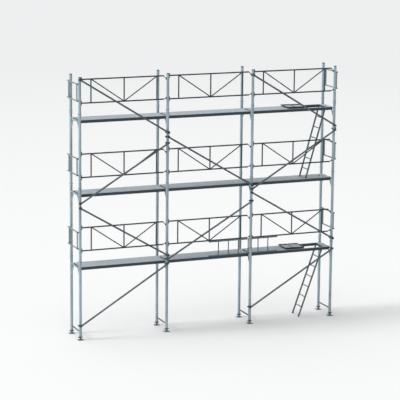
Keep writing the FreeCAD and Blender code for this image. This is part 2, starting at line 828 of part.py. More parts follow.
tie_parts = base_tie()
nodes.append(gather("base_ties", [
    gather(f"base_tie_{line}", tie_parts, V(line_x(line), 0, 0)) for line in lines
]))

shared_deck = deck_frame(claw(), side_rail())
plain_parts = plain_deck(shared_deck)
hatch_parts = hatch_deck(shared_deck)
lid_parts = hatch_lid()
ladder_bay = bays[-1]
hinge_x = line_x(ladder_bay) + cell("hatch_start")
for level in lifts:
    for bay in bays[:-1]:
        place = V(line_x(bay), 0, deck_z(level))
        nodes.append(gather(f"deck_bay_{bay}_level_{level}", plain_parts, place))
    place = V(line_x(ladder_bay), 0, deck_z(level))
    nodes.append(gather(f"hatch_deck_level_{level}", hatch_parts, place))
    hinge = V(hinge_x, 0, deck_z(level) + cell("hinge_rise"))
    opened = 0 if level == 2 else cell("lid_open")
    turn = FreeCAD.Rotation(ACROSS, -opened)
    nodes.append(gather(f"hatch_lid_level_{level}", lid_parts, hinge, turn))

ladder_x = hinge_x + cell("hatch_length") - cell("ladder_inset")
reaches = {"lower": (cell("lower_reach"), 1), "upper": (cell("upper_reach"), 3)}
for name, (reach, level) in reaches.items():
    hinge = V(ladder_x, 0, deck_z(level) - cell("ladder_drop"))
    turn = FreeCAD.Rotation(ACROSS, ladder_lean(reach))
    nodes.append(gather(f"ladder_{name}", ladder(name, reach), hinge, turn))

# The third ladder lies on the first deck on one stile, behind the front posts, foot to the left.
stowed_turn = FreeCAD.Rotation(ACROSS, UP, ALONG, "ZYX")
stowed_reach = cell("lower_reach")
stowed_place = V(line_x(1) + cell("stowed_foot") + stowed_reach, -cell("stowed_middle"),
                 deck_z(1) + (cell("ladder_width") + cell("stile_width")) / 2)
nodes.append(gather("ladder_stowed", ladder("stowed", stowed_reach), stowed_place, stowed_turn))

panel = front_guardrail()
for level in lifts:
    nodes.append(gather(f"guardrails_level_{level}", [
        gather(f"guardrail_{bay}_{level}", panel, V(line_x(bay), front_y, deck_z(level)))
        for bay in bays
    ]))

guard = end_guard()
mirrored = doc.addObject("Part::Mirroring", "mirrored_end_guard")
mirrored.Source = gather("right_end_guard", guard)
mirrored.Normal = ALONG
for name, line, parts in (("left", lines[0], [mirrored]), ("right", lines[-1], guard)):
    nodes.append(gather(f"end_guards_{name}", [
        gather(f"end_guard_{name}_{level}", parts, V(line_x(line), 0, deck_z(level)))
        for level in lifts
    ]))

brace_y = front_y - cell("brace_offset")
couplers = []
for bay in bays:
    tubes = []
    for owner, left, right in BRACES:
        if owner != bay:
            continue
        tube, slope = brace(left, right)
        tubes.append(gather("placed_brace", [tube], V(line_x(bay), brace_y, 0)))
        clamp = coupler(slope)
        couplers.append(gather("left_coupler", [clamp], V(line_x(bay), brace_y, left)))
        couplers.append(gather("right_coupler", [clamp], V(line_x(bay + 1), brace_y, right)))
    nodes.append(gather(f"braces_bay_{bay}", tubes))
nodes.append(gather("brace_couplers", couplers))

pin = locking_pin()
nodes.append(gather("locking_pins", [
    gather("placed_pin", [pin], V(line_x(line), across, deck_z(lift) + cell("jack_gap")))
    for line in lines for across in sides.values() for lift in lifts
]))

lid_pin = hinge_pin()
nodes.append(gather("hatch_hinge_pins", [
    gather("placed_hinge_pin", [lid_pin],
           V(hinge_x, side * cell("hinge_place"), deck_z(level) + cell("hinge_rise")))
    for level in lifts for side in (-1, 1)
]))

bolt = hinge_bolt()
bolt_y = (cell("ladder_width") + cell("stile_width")) / 2 + cell("ear_gap") + cell("ear_thick")
nodes.append(gather("ladder_hinge_bolts", [
    gather("placed_bolt", [bolt],
           V(ladder_x, side * bolt_y, deck_z(level) - cell("ladder_drop")),
           FreeCAD.Rotation(UP, 90 + 90 * side))
    for _, level in reaches.values() for side in (-1, 1)
]))

doc.recompute()
for piece in doc.Objects:
    if {"Invalid", "Error"} & set(piece.State):
        raise RuntimeError(f"{piece.Label} failed: {piece.State}")
os.makedirs("parts", exist_ok=True)
for node in nodes:
    if node.Shape.isNull() or not node.Shape.isValid():
        raise RuntimeError(f"{node.Label} has no sound shape")
    node.Shape.exportStep(f"parts/{node.Label}.step")
print(len(nodes), "nodes,", sum(len(node.Shape.Solids) for node in nodes), "solids")
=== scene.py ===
# %% [markdown]
# # A facade scaffold of frames, three bays long and three lifts high
# Everything that holds, hangs or turns on this scaffold is already drawn to size: the posts,
# decks, rails, braces, jacks and ladders arrive as the frame, and none of them is moved here.
# What is left for Blender is the look: the zinc on the tubes, the pressed grip on the decks, the
# weld beads, threads, bolts, wedges and end caps that make a real scaffold out of a drawing of
# one.

import json
import math

import bmesh
import bpy
from mathutils import Matrix, Vector


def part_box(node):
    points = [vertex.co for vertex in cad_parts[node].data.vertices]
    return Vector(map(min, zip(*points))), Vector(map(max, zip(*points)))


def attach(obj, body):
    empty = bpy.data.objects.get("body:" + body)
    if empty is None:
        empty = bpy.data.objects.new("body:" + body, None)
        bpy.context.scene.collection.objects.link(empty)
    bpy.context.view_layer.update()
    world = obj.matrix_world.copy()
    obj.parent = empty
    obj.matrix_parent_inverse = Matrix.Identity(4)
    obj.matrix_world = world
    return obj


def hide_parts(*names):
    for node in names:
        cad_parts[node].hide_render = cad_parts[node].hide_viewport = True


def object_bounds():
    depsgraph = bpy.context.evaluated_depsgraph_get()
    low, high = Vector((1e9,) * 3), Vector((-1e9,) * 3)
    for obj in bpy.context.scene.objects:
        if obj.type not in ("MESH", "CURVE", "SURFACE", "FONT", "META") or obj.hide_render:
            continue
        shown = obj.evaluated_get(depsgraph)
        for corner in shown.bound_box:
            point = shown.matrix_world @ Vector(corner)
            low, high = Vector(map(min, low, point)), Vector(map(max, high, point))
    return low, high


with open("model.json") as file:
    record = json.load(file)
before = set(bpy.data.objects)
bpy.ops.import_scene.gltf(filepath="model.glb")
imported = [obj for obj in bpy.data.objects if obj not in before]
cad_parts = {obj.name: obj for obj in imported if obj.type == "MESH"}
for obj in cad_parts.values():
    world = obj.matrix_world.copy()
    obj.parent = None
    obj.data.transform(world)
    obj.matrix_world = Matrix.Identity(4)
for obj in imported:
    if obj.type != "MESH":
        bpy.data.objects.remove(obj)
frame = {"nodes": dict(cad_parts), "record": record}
nodes = frame["nodes"]
cad_low, cad_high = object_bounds()
print("frame:", len(nodes), "nodes, box", [round(side, 3) for side in cad_high - cad_low])

# %% [markdown]
# The places of all the added pieces follow from a few facts: where the four frame lines stand,
# how far apart the front and rear posts are, and how high the decks lie. They could be typed in,
# but then a change to the frame would leave the pieces behind. So they are read from the frame's
# nodes.

# %% Read the grid from the frame
MM = 0.001
LINES = [1, 2, 3, 4]
LEVELS = [1, 2, 3]
SIDES = ("front", "rear")


def middle(node):
    """The centre of a node's box."""
    low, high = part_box(node)
    return (low + high) / 2


line_x = {line: middle(f"jack_line_{line}_front").x for line in LINES}
post_y = {side: middle(f"jack_line_1_{side}").y for side in SIDES}
deck_top = {level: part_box(f"deck_bay_1_level_{level}")[1].z for level in LEVELS}
frame_foot = {lift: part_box(f"frame_line_1_lift_{lift}")[0].z for lift in LEVELS}
guard_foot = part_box("guard_posts_line_1")[0].z
bay = line_x[2] - line_x[1]
print("bay", round(bay, 3), "width", round(post_y["rear"] - post_y["front"], 3), "decks", deck_top)

# %% [markdown]
# ## Camera
# The scaffold is looked at from its left front corner, a little above the decks, with a long lens
# from far away, so that its posts stay almost parallel. The camera could be turned by hand until
# it fits, but a bearing, a height angle and a distance say the same thing in three numbers.

# %% Camera
VIEW_AZIMUTH = math.radians(-22.537)
VIEW_ELEVATION = math.radians(11.259)
VIEW_DISTANCE = 52.85
VIEW_ROLL = math.radians(0.524)
VIEW_LENS = 172.36
AIM_SHIFT = Vector((-0.131, 0.0, -0.026))

aim = Vector((0, 0, (cad_low.z + cad_high.z) / 2)) + AIM_SHIFT
back = Vector((
    math.sin(VIEW_AZIMUTH) * math.cos(VIEW_ELEVATION),
    -math.cos(VIEW_AZIMUTH) * math.cos(VIEW_ELEVATION),
    math.sin(VIEW_ELEVATION),
))
camera_data = bpy.data.cameras.new("camera")
camera_data.lens = VIEW_LENS
camera_data.clip_end = 400
camera = bpy.data.objects.new("camera", camera_data)
bpy.context.scene.collection.objects.link(camera)
camera.location = aim + back * VIEW_DISTANCE
facing = (-back).to_track_quat("-Z", "Y").to_matrix().to_4x4()
roll = Matrix.Rotation(VIEW_ROLL, 4, "Z")
camera.matrix_world = Matrix.Translation(camera.location) @ facing @ roll
bpy.context.scene.camera = camera
print("camera at", [round(c, 2) for c in camera.location])

# %% [markdown]
# ## Helpers for materials
# Every finish here is a metal with something on it, so each material starts from the same few
# nodes: object coordinates, noise at the right scale, a colour ramp, and a bump. Short helpers
# add one node each and join it up, which keeps a recipe readable as a list of what the finish is
# made of.

# %% Make a material and add nodes to it
def new_material(name, metallic=0.0, roughness=0.5):
    """A material with its shader's plain numbers set on the shader's own sockets."""
    material = bpy.data.materials.new(name)
    material.use_nodes = True
    shader = material.node_tree.nodes["Principled BSDF"]
    shader.inputs["Metallic"].default_value = metallic
    shader.inputs["Roughness"].default_value = roughness
    return material, shader


def add(material, kind, settings=None, **links):
    """A new node with its settings, and links into its inputs by name."""
    node = material.node_tree.nodes.new(kind)
    for key, value in (settings or {}).items():
        if key in node.inputs:
            node.inputs[key].default_value = value
        else:
            setattr(node, key, value)
    for key, source in links.items():
        material.node_tree.links.new(source, node.inputs[key.replace("_", " ")])
    return node


def connect(material, output, socket):
    material.node_tree.links.new(output, socket)

# %% [markdown]
# The nodes read Object coordinates, which stay with a piece when its body moves. Noise gives
# clouds and streaks, a ramp turns a value into a tone, and a bump lets the light see the same
# pattern.

# %% Patterns, tones and bumps
def object_coordinates(material, scale=(1, 1, 1)):
    """Object coordinates, stretched or squeezed along the axes."""
    place = add(material, "ShaderNodeTexCoord")
    mapping = add(material, "ShaderNodeMapping", Vector=place.outputs["Object"])
    mapping.inputs["Scale"].default_value = scale
    return mapping.outputs["Vector"]


def noise(material, scale, detail=4.0, roughness=0.55, stretch=(1, 1, 1)):
    return add(material, "ShaderNodeTexNoise",
               {"Scale": scale, "Detail": detail, "Roughness": roughness},
               Vector=object_coordinates(material, stretch)).outputs["Fac"]


def ramp(material, source, stops):
    """A colour ramp from (place, colour) stops."""
    node = add(material, "ShaderNodeValToRGB", Fac=source)
    elements = node.color_ramp.elements
    while len(elements) < len(stops):
        elements.new(0.5)
    for element, (place, colour) in zip(elements, stops):
        element.position = place
        element.color = (*colour, 1)
    return node.outputs["Color"]


def mix(material, share, first, second, blend="MIX"):
    """Two colours mixed by a share, which is a number or a node's output."""
    node = add(material, "ShaderNodeMix", {"data_type": "RGBA", "blend_type": blend})
    links = material.node_tree.links
    inputs = (node.inputs[0], node.inputs[6], node.inputs[7])
    for socket, value in zip(inputs, (share, first, second)):
        if isinstance(value, bpy.types.NodeSocket):
            links.new(value, socket)
        elif isinstance(value, (int, float)):
            socket.default_value = value
        else:
            socket.default_value = (*value, 1)
    return node.outputs[2]


def span(material, source, low, high, to_low, to_high):
    """A value moved from one range to another."""
    node = add(material, "ShaderNodeMapRange",
               {"From Min": low, "From Max": high, "To Min": to_low, "To Max": to_high},
               Value=source)
    return node.outputs["Result"]


def bump(material, shader, height, strength, distance):
    node = add(material, "ShaderNodeBump", {"Strength": strength, "Distance": distance},
               Height=height)
    material.node_tree.links.new(node.outputs["Normal"], shader.inputs["Normal"])

# %% [markdown]
# ## Zinc
# Hot-dip galvanised tube is blue-grey. It cools in crystals, a few centimetres across, that each
# catch the light a little differently, and it dulls and darkens where hands, couplers and rain
# have been. A voronoi texture gives the crystals and two noises give the dulling. One function
# makes all the zinc tones; frames, rails and braces differ only in their two tones, and the dark
# tones of the guardrails and braces are partly their own and partly painted shade.

# %% Galvanised steel
def galvanised(name, light, dark, metallic=0.75, roughness=0.42, spangle=70.0):
    """Zinc between two tones, with spangle, clouds of dulling, and fine pits."""
    material, shader = new_material(name, metallic, roughness)
    crystals = add(material, "ShaderNodeTexVoronoi", {"Scale": spangle, "feature": "F1"},
                   Vector=object_coordinates(material))
    crystal_tone = add(material, "ShaderNodeSeparateColor", Color=crystals.outputs["Color"])
    clouds = noise(material, 3.0, 5.0, 0.6, (1, 1, 0.35))
    streaks = noise(material, 26.0, 3.0, 0.5, (1, 1, 0.12))
    zinc = ramp(material, clouds, [(0.32, dark), (0.68, light)])
    lighter = tuple(min(1, 1.22 * c) for c in light)
    zinc = mix(material, span(material, crystal_tone.outputs[0], 0, 1, 0.0, 0.35), zinc, lighter)
    zinc = mix(material, span(material, streaks, 0.5, 0.75, 0.0, 0.4), zinc,
               tuple(0.7 * c for c in dark))
    connect(material, zinc, shader.inputs["Base Color"])
    grain = noise(material, 160.0, 4.0)
    patchy = span(material, clouds, 0.3, 0.7, roughness + 0.12, roughness - 0.08)
    connect(material, patchy, shader.inputs["Roughness"])
    bump(material, shader, grain, 0.25, 0.0006)
    return material


frame_zinc = galvanised("frame_zinc", (0.37, 0.47, 0.52), (0.20, 0.27, 0.31), 0.15)
# The guardrails' and braces' zinc is darkened partly as its own tone and partly as painted shade.
rail_zinc_with_painted_shade = galvanised("rail_zinc_with_painted_shade", (0.036, 0.056, 0.068), (0.014, 0.022, 0.03), 0.1)
end_zinc = galvanised("end_guard_zinc", (0.24, 0.32, 0.36), (0.12, 0.17, 0.20), 0.15)
brace_zinc_with_painted_shade = galvanised("brace_zinc_with_painted_shade", (0.11, 0.155, 0.18), (0.045, 0.065, 0.08), 0.15)
jack_zinc = galvanised("jack_zinc", (0.22, 0.28, 0.31), (0.10, 0.14, 0.16), 0.2)
fitting_zinc = galvanised("fitting_zinc", (0.07, 0.10, 0.12), (0.025, 0.04, 0.05), 0.4, 0.5, 120.0)
print("zinc finishes made")

# %% [markdown]
# ## Aluminium
# Decks, lids and ladders are extruded or folded aluminium. Extrusion leaves fine lines along the
# length and boots scuff the top. Light and shade are painted into the colour: faces that point up
# get a light tone as if lit from above, and the sides a dark painted shade. The walking face could
# be a material of its own, but it belongs to the same sheet as the edges, so one material turns
# lighter where its surface faces up.

# %% Worn aluminium with painted light and shade
def worn_aluminium_painted_light(name, top, side, along="X", metallic=0.6, roughness=0.45):
    """Aluminium with painted light on its upward faces and painted shade on its sides, with scuffs
    and drawn lines.
    """
    material, shader = new_material(name, metallic, roughness)
    normal = add(material, "ShaderNodeNewGeometry").outputs["Normal"]
    facing_up = add(material, "ShaderNodeSeparateXYZ", Vector=normal).outputs["Z"]
    stretch = {"X": (0.02, 1, 1), "Z": (1, 1, 0.02)}[along]
    lines = noise(material, 220.0, 3.0, 0.6, stretch)
    scuffs = noise(material, 9.0, 6.0, 0.65)
    # Scuffs vary both tones. The top tone is painted light and the side tone painted shade, mixed
    # by how far a face points up.
    painted_light_top = ramp(material, scuffs, [(0.35, tuple(0.82 * c for c in top)), (0.65, top)])
    painted_shade_side = ramp(material, scuffs, [(0.35, tuple(0.7 * c for c in side)), (0.65, side)])
    tone = mix(material, span(material, facing_up, 0.3, 0.8, 0.0, 1.0), painted_shade_side, painted_light_top)
    tone = mix(material, span(material, lines, 0.45, 0.7, 0.0, 0.25), tone,
               tuple(0.6 * c for c in side))
    connect(material, tone, shader.inputs["Base Color"])
    connect(material, span(material, scuffs, 0.3, 0.7, roughness - 0.08, roughness + 0.12),
            shader.inputs["Roughness"])
    bump(material, shader, lines, 0.15, 0.0004)
    return material


# In each finish the first tone is the tops' painted light and the second the sides' painted shade.
deck_alloy = worn_aluminium_painted_light("deck_alloy", (0.56, 0.63, 0.67), (0.03, 0.056, 0.074), "X", 0.1)
lid_alloy = worn_aluminium_painted_light("lid_alloy", (0.60, 0.65, 0.68), (0.025, 0.04, 0.05), "X", 0.1)
ladder_alloy = worn_aluminium_painted_light("ladder_alloy", (0.22, 0.30, 0.34), (0.12, 0.17, 0.20), "Z", 0.3)
print("aluminium finishes made")

# %% [markdown]
# ## Rubber
# The ladders' shoes and caps are moulded rubber, dull and nearly black, greyed by dust.

# %% Rubber
rubber, rubber_shader = new_material("rubber", 0.0, 0.8)
dust = noise(rubber, 30.0, 5.0)
connect(rubber, ramp(rubber, dust, [(0.35, (0.02, 0.022, 0.024)), (0.7, (0.07, 0.072, 0.075))]),
        rubber_shader.inputs["Base Color"])
connect(rubber, span(rubber, dust, 0.3, 0.7, 0.7, 0.9), rubber_shader.inputs["Roughness"])
bump(rubber, rubber_shader, noise(rubber, 300.0), 0.3, 0.0004)
print("rubber made")

# %% [markdown]
# ## Finishes for the frame
# The record names a material slot for each node: frames, rails, braces, jacks and so on. The
# finishes could be given node by node, but going by slot means that nothing is missed and nothing
# is typed twice. The end guards share the rails' slot and get their own lighter zinc afterwards,
# without the painted shade of the guardrails' zinc.

# %% Give each node of the frame its finish
FINISHES = {
    "galvanised_frame": frame_zinc,
    "galvanised_rail": rail_zinc_with_painted_shade,
    "galvanised_brace": brace_zinc_with_painted_shade,
    "jack_steel": jack_zinc,
    "cast_fittings": fitting_zinc,
    "zinc_fasteners": fitting_zinc,
    "deck_alloy": deck_alloy,
    "lid_alloy": lid_alloy,
    "ladder_alloy": ladder_alloy,
}
slot_of = {part["node"]: part["material_slot"] for part in frame["record"]["subparts"]}
for name, node in nodes.items():
    finish = FINISHES[slot_of[name]]
    if not node.material_slots:
        node.data.materials.append(finish)
    for material_slot in node.material_slots:
        material_slot.material = finish
# The end guards get a lighter zinc than the guardrails, whose zinc carries painted shade.
for name in ("end_guards_left", "end_guards_right"):
    nodes[name].material_slots[0].material = end_zinc
print("finishes on", len(nodes), "nodes")

# %% [markdown]
# ## Helpers for modelling
# Every added piece goes through the same steps: start from a primitive, shape it in edit mode or
# with modifiers that are applied at once, then bake its place into its mesh. An operator acts on
# all that is selected, and it would be easy to forget that in each step. So the helpers clear the
# selection first.

# %% Start, shape and bake a piece
def clear_selection():
    bpy.ops.object.select_all(action="DESELECT")


def begin(kind, **settings):
    """A new primitive, alone in the selection."""
    clear_selection()
    getattr(bpy.ops.mesh, f"primitive_{kind}_add")(**settings)
    return bpy.context.object


def edit(piece):
    """Open a piece in edit mode with everything selected."""
    clear_selection()
    piece.select_set(True)
    bpy.context.view_layer.objects.active = piece
    bpy.ops.object.mode_set(mode="EDIT")
    bpy.ops.mesh.select_all(action="SELECT")


def pick(piece, element, test):
    """In edit mode, select only the faces, edges or verts that pass a test."""
    bpy.ops.mesh.select_mode(type=element)
    bpy.ops.mesh.select_all(action="DESELECT")
    shape = bmesh.from_edit_mesh(piece.data)
    group = {"FACE": shape.faces, "EDGE": shape.edges, "VERT": shape.verts}[element]
    for part in group:
        part.select_set(bool(test(part)))
    shape.select_flush_mode()
    bmesh.update_edit_mesh(piece.data)


def done():
    bpy.ops.object.mode_set(mode="OBJECT")


def apply_modifier(piece, kind, **settings):
    """Add a modifier with its settings and apply it straight away."""
    modifier = piece.modifiers.new(kind.lower(), kind)
    for key, value in settings.items():
        setattr(modifier, key, value)
    clear_selection()
    piece.select_set(True)
    bpy.context.view_layer.objects.active = piece
    bpy.ops.object.modifier_apply(modifier=modifier.name)


def bake_place(piece):
    """Put the object's place into its mesh, so that the object sits at the origin."""
    clear_selection()
    piece.select_set(True)
    bpy.context.view_layer.objects.active = piece
    bpy.ops.object.transform_apply(location=True, rotation=True, scale=True)

# %% [markdown]
# Most fittings of a scaffold are flats and rounds of steel, drilled or cut, with their edges worn
# soft. Each could be drawn face by face, but a block or a bar that is cut and rounded says sooner
# how the fitting is made.

# %% Blocks, bars, cuts and soft edges
def box_piece(size, place):
    """A block of given sides around a place, with its place in its mesh."""
    piece = begin("cube", size=1, location=place, scale=size)
    bake_place(piece)
    return piece


def round_piece(radius, depth, place, along=(0, 0, 1), vertices=24):
    """A bar around a place, lying along a direction, with its place in its mesh."""
    heading = Vector(along).to_track_quat("Z", "Y").to_matrix()
    piece = begin("cylinder", vertices=vertices, radius=radius, depth=depth, location=place,
                  rotation=heading.to_euler())
    bake_place(piece)
    return piece


def boolean(piece, tool, operation):
    """Join, cut or keep the overlap with a tool, which is used up."""
    apply_modifier(piece, "BOOLEAN", operation=operation, object=tool, solver="EXACT")
    bpy.data.objects.remove(tool)


def round_off(piece, width, segments=2):
    """Soften every edge sharper than thirty degrees."""
    apply_modifier(piece, "BEVEL", width=width, segments=segments, limit_method="ANGLE",
                   angle_limit=math.radians(30))

# %% [markdown]
# What repeats is modelled once, and each copy gets a mesh of its own, moved to its place.
# Collection instances would be lighter, but a piece that has its own mesh can ride on its own
# body.

# %% Copies, and the bodies that they ride on
def at(x=0.0, y=0.0, z=0.0):
    return Matrix.Translation((x, y, z))


def join(pieces, name):
    """Several pieces made one object."""
    clear_selection()
    for piece in pieces:
        piece.select_set(True)
    bpy.context.view_layer.objects.active = pieces[0]
    if len(pieces) > 1:
        bpy.ops.object.join()
    pieces[0].name = name
    return pieces[0]


def copies(template, name, places):
    """Copies of a template, each with its own mesh moved to its place, joined under one name."""
    made = []
    for place in places:
        mesh = template.data.copy()
        mesh.transform(place)
        copy = bpy.data.objects.new(name, mesh)
        bpy.context.scene.collection.objects.link(copy)
        made.append(copy)
    return join(made, name)


def finished(piece, finish, body="root"):
    """Give a piece its finish and the body that it rides on."""
    piece.data.materials.clear()
    piece.data.materials.append(finish)
    clear_selection()
    piece.select_set(True)
    bpy.context.view_layer.objects.active = piece
    bpy.ops.object.shade_smooth_by_angle(angle=math.radians(35))
    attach(piece, body)
    return piece

# %% [markdown]
# ## Base jacks
# A base jack is a tube with a rolled thread, welded upright on a square plate with nail holes.
# The thread could be a stack of rings, but rings would not show the climb that lifts the nut. So
# one turn of its outline is drawn as a single edge and spun upwards with the Screw modifier.

# %% Threaded spindle
SPINDLE_RADIUS = 27 * MM
SPINDLE_LENGTH = 500 * MM
THREAD_PITCH = 8 * MM
THREAD_DEPTH = 2 * MM
PLATE_THICK = 8 * MM

spindle = begin("plane", size=THREAD_PITCH, rotation=(math.pi / 2, 0, 0),
                location=(SPINDLE_RADIUS - THREAD_PITCH / 2, 0, 0))
edit(spindle)
pick(spindle, "VERT", lambda v: v.co.x < 0)
bpy.ops.mesh.delete(type="VERT")
bpy.ops.mesh.select_all(action="SELECT")
bpy.ops.mesh.subdivide(number_cuts=4)
pick(spindle, "VERT", lambda v: abs(v.co.y) > 0.2 * THREAD_PITCH)
bpy.ops.transform.translate(value=(-THREAD_DEPTH, 0, 0))
done()
bake_place(spindle)
turns = math.ceil(SPINDLE_LENGTH / THREAD_PITCH) + 2
apply_modifier(spindle, "SCREW", axis="Z", angle=math.tau, screw_offset=THREAD_PITCH,
               iterations=turns, steps=20, render_steps=20, use_merge_vertices=True)
for height, normal in ((THREAD_PITCH, (0, 0, -1)), (THREAD_PITCH + SPINDLE_LENGTH, (0, 0, 1))):
    edit(spindle)
    bpy.ops.mesh.bisect(plane_co=(0, 0, height), plane_no=normal, use_fill=True, clear_outer=True)
    done()
edit(spindle)
bpy.ops.mesh.normals_make_consistent(inside=False)
done()
spindle.data.transform(at(z=PLATE_THICK - THREAD_PITCH))
print("spindle:", len(spindle.data.polygons), "faces,", turns, "turns of thread")

# %% [markdown]
# The plate spreads the load on the ground. It is cut from flat steel, with rounded corners and a
# hole near each corner for a nail. A thin torus makes the weld bead round the spindle's foot.

# %% Base plates
PLATE_SIDE = 150 * MM
PLATE_CORNER = 8 * MM
HOLE_RADIUS = 7 * MM
HOLE_PLACE = 55 * MM
FOOT_BEAD = 4 * MM
plate = box_piece((PLATE_SIDE, PLATE_SIDE, PLATE_THICK), (0, 0, PLATE_THICK / 2))
edit(plate)
pick(plate, "EDGE", lambda e: abs(e.verts[0].co.z - e.verts[1].co.z) > PLATE_THICK / 2)
bpy.ops.mesh.bevel(offset=PLATE_CORNER, segments=4)
done()
for along in (-HOLE_PLACE, HOLE_PLACE):
    for across in (-HOLE_PLACE, HOLE_PLACE):
        boolean(plate, round_piece(HOLE_RADIUS, 4 * PLATE_THICK, (along, across, 0)), "DIFFERENCE")
round_off(plate, 0.8 * MM)
foot_weld = begin("torus", major_radius=SPINDLE_RADIUS, minor_radius=FOOT_BEAD, major_segments=36,
                  minor_segments=8, location=(0, 0, PLATE_THICK + FOOT_BEAD / 4))
bake_place(foot_weld)
jack = join([plate, spindle, foot_weld], "jack_template")
for line in LINES:
    for side in SIDES:
        copy = copies(jack, f"threaded_jack_{line}_{side}", [at(line_x[line], post_y[side])])
        finished(copy, jack_zinc, f"jack_{line}_{side}")
        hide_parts(f"jack_line_{line}_{side}")
print("jacks:", len(jack.data.polygons), "faces each")
bpy.data.objects.remove(jack)

# %% [markdown]
# ## Jack nuts
# The nut under each post is cast: a round body with two wings for the fist or the hammer. Its
# edges are drafted and soft because it came out of a mould. A ring and a bar can simply be
# joined, but then they look like a ring and a bar; tapering the bar's tips first makes wings of
# it.

# %% Jack nuts
NUT_RADIUS, NUT_BORE = 45 * MM, 27.1 * MM
WING_SPAN, WING_WIDTH, WING_HEIGHT = 150 * MM, 20 * MM, 16 * MM
WING_TAPER = (1, 0.75, 0.8)
WING_TIP = 6 * MM
nut_low, nut_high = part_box("jack_nut_line_1_front")
nut_height = nut_high.z - nut_low.z

nut = round_piece(NUT_RADIUS, nut_height, (0, 0, nut_low.z + nut_height / 2), vertices=48)
wings = box_piece((WING_SPAN, WING_WIDTH, WING_HEIGHT), (0, 0, nut_low.z + WING_HEIGHT / 2))
edit(wings)
pick(wings, "FACE", lambda f: abs(f.normal.x) > 0.9)
bpy.ops.transform.resize(value=WING_TAPER)
pick(wings, "EDGE", lambda e: abs(e.verts[0].co.z - e.verts[1].co.z) > WING_HEIGHT / 2)
bpy.ops.mesh.bevel(offset=WING_TIP, segments=4)
done()
boolean(nut, wings, "UNION")
boolean(nut, round_piece(NUT_BORE, 4 * nut_height, (0, 0, nut_low.z), vertices=48), "DIFFERENCE")
round_off(nut, 1.6 * MM, 3)
for line in LINES:
    for side in SIDES:
        copy = copies(nut, f"winged_nut_{line}_{side}", [at(line_x[line], post_y[side])])
        finished(copy, fitting_zinc, f"nut_{line}_{side}")
        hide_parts(f"jack_nut_line_{line}_{side}")
print("nuts:", len(nut.data.polygons), "faces each")
bpy.data.objects.remove(nut)

# %% [markdown]
# ## Weld beads
# Frames and rails are welded before they are dipped in zinc, so every tube that meets another has
# a soft bead round it. A torus would float off a round post at the sides. The bead is instead
# made as the weld is: both tubes are fattened by the bead's width, and only what they share is
# kept, which follows the true saddle line between two round tubes.

# %% Weld beads on the frames
BEAD = 4 * MM
POST_RADIUS = 38.05 * MM
TRANSOM_RADIUS = 24.15 * MM
KNEE_RADIUS = 16.85 * MM
TRANSOM_DROP = 32 * MM
KNEE_REACH, KNEE_DROP = 190 * MM, 320 * MM


def weld(spot, along, radius, host_spot, host_along, host_radius):
    """A bead where a tube runs into a host tube: the fattened tubes' overlap."""
    reach = 4 * radius
    bead = round_piece(radius + BEAD, reach, spot, along, 28)
    host = round_piece(host_radius + 0.75 * BEAD, 3 * reach, host_spot, host_along, 48)
    boolean(bead, host, "INTERSECT")
    round_off(bead, 0.4 * BEAD)
    return bead


transom_rise = deck_top[1] - TRANSOM_DROP - frame_foot[1]
knee = Vector((0, KNEE_REACH, KNEE_DROP)).normalized()
knee_foot = Vector((0, 0, transom_rise - KNEE_DROP))
knee_head = Vector((0, KNEE_REACH, transom_rise))
post_exit = knee_foot + knee * (POST_RADIUS / knee.y)
transom_entry = knee_head - knee * (TRANSOM_RADIUS / knee.z)
UPWARD, ALONG, ACROSS = (0, 0, 1), (1, 0, 0), (0, 1, 0)
beads = join([
    weld((0, POST_RADIUS + TRANSOM_RADIUS, transom_rise), ACROSS, TRANSOM_RADIUS,
         (0, 0, transom_rise), UPWARD, POST_RADIUS),
    weld(post_exit, knee, KNEE_RADIUS, (0, 0, post_exit.z), UPWARD, POST_RADIUS),
    weld(transom_entry, knee, KNEE_RADIUS, (0, transom_entry.y, transom_rise), ACROSS,
         TRANSOM_RADIUS),
], "bead_template")
HALF_TURN = Matrix.Rotation(math.pi, 4, "Z")
for line in LINES:
    places = []
    for lift in LEVELS:
        places.append(at(line_x[line], post_y["front"], frame_foot[lift]))
        places.append(at(line_x[line], post_y["rear"], frame_foot[lift]) @ HALF_TURN)
    finished(copies(beads, f"frame_welds_line_{line}", places), frame_zinc)
print("frame welds:", len(beads.data.polygons), "faces at each post")
bpy.data.objects.remove(beads)

# %% [markdown]
# Each upright of a guardrail is welded to both rails. The same overlap of fattened tubes gives
# its beads: one under the top rail and one on the knee rail. The pair is made once for all
# uprights.

# %% Weld beads on the guardrails
RAIL_RADIUS = 19 * MM
UPRIGHT_RADIUS = 18 * MM
TOP_RAIL, KNEE_RAIL = 1100 * MM, 467 * MM
PANEL_HALF = 935 * MM
rail_beads = join([
    weld((0, 0, height + sense * RAIL_RADIUS), UPWARD, UPRIGHT_RADIUS, (0, 0, height), ALONG,
         RAIL_RADIUS)
    for height, sense in ((TOP_RAIL, -1), (KNEE_RAIL, 1))
], "rail_bead_template")
for level in LEVELS:
    places = [
        at(line_x[line] + bay / 2 + offset, post_y["front"], deck_top[level])
        for line in LINES[:-1] for offset in (-PANEL_HALF, 0, PANEL_HALF)
    ]
    finished(copies(rail_beads, f"guardrail_welds_level_{level}", places), rail_zinc_with_painted_shade)
print("guardrail welds:", len(rail_beads.data.polygons), "faces at each upright")
bpy.data.objects.remove(rail_beads)

# %% [markdown]
# ## Wedges
# A guardrail is held at its left end by a wedge driven down through a pocket beside the post: a
# flat steel bar, broad at the head and narrow at the tip, battered round on top. It is one block
# whose lower face is drawn in, and the pocket is a second block round it.

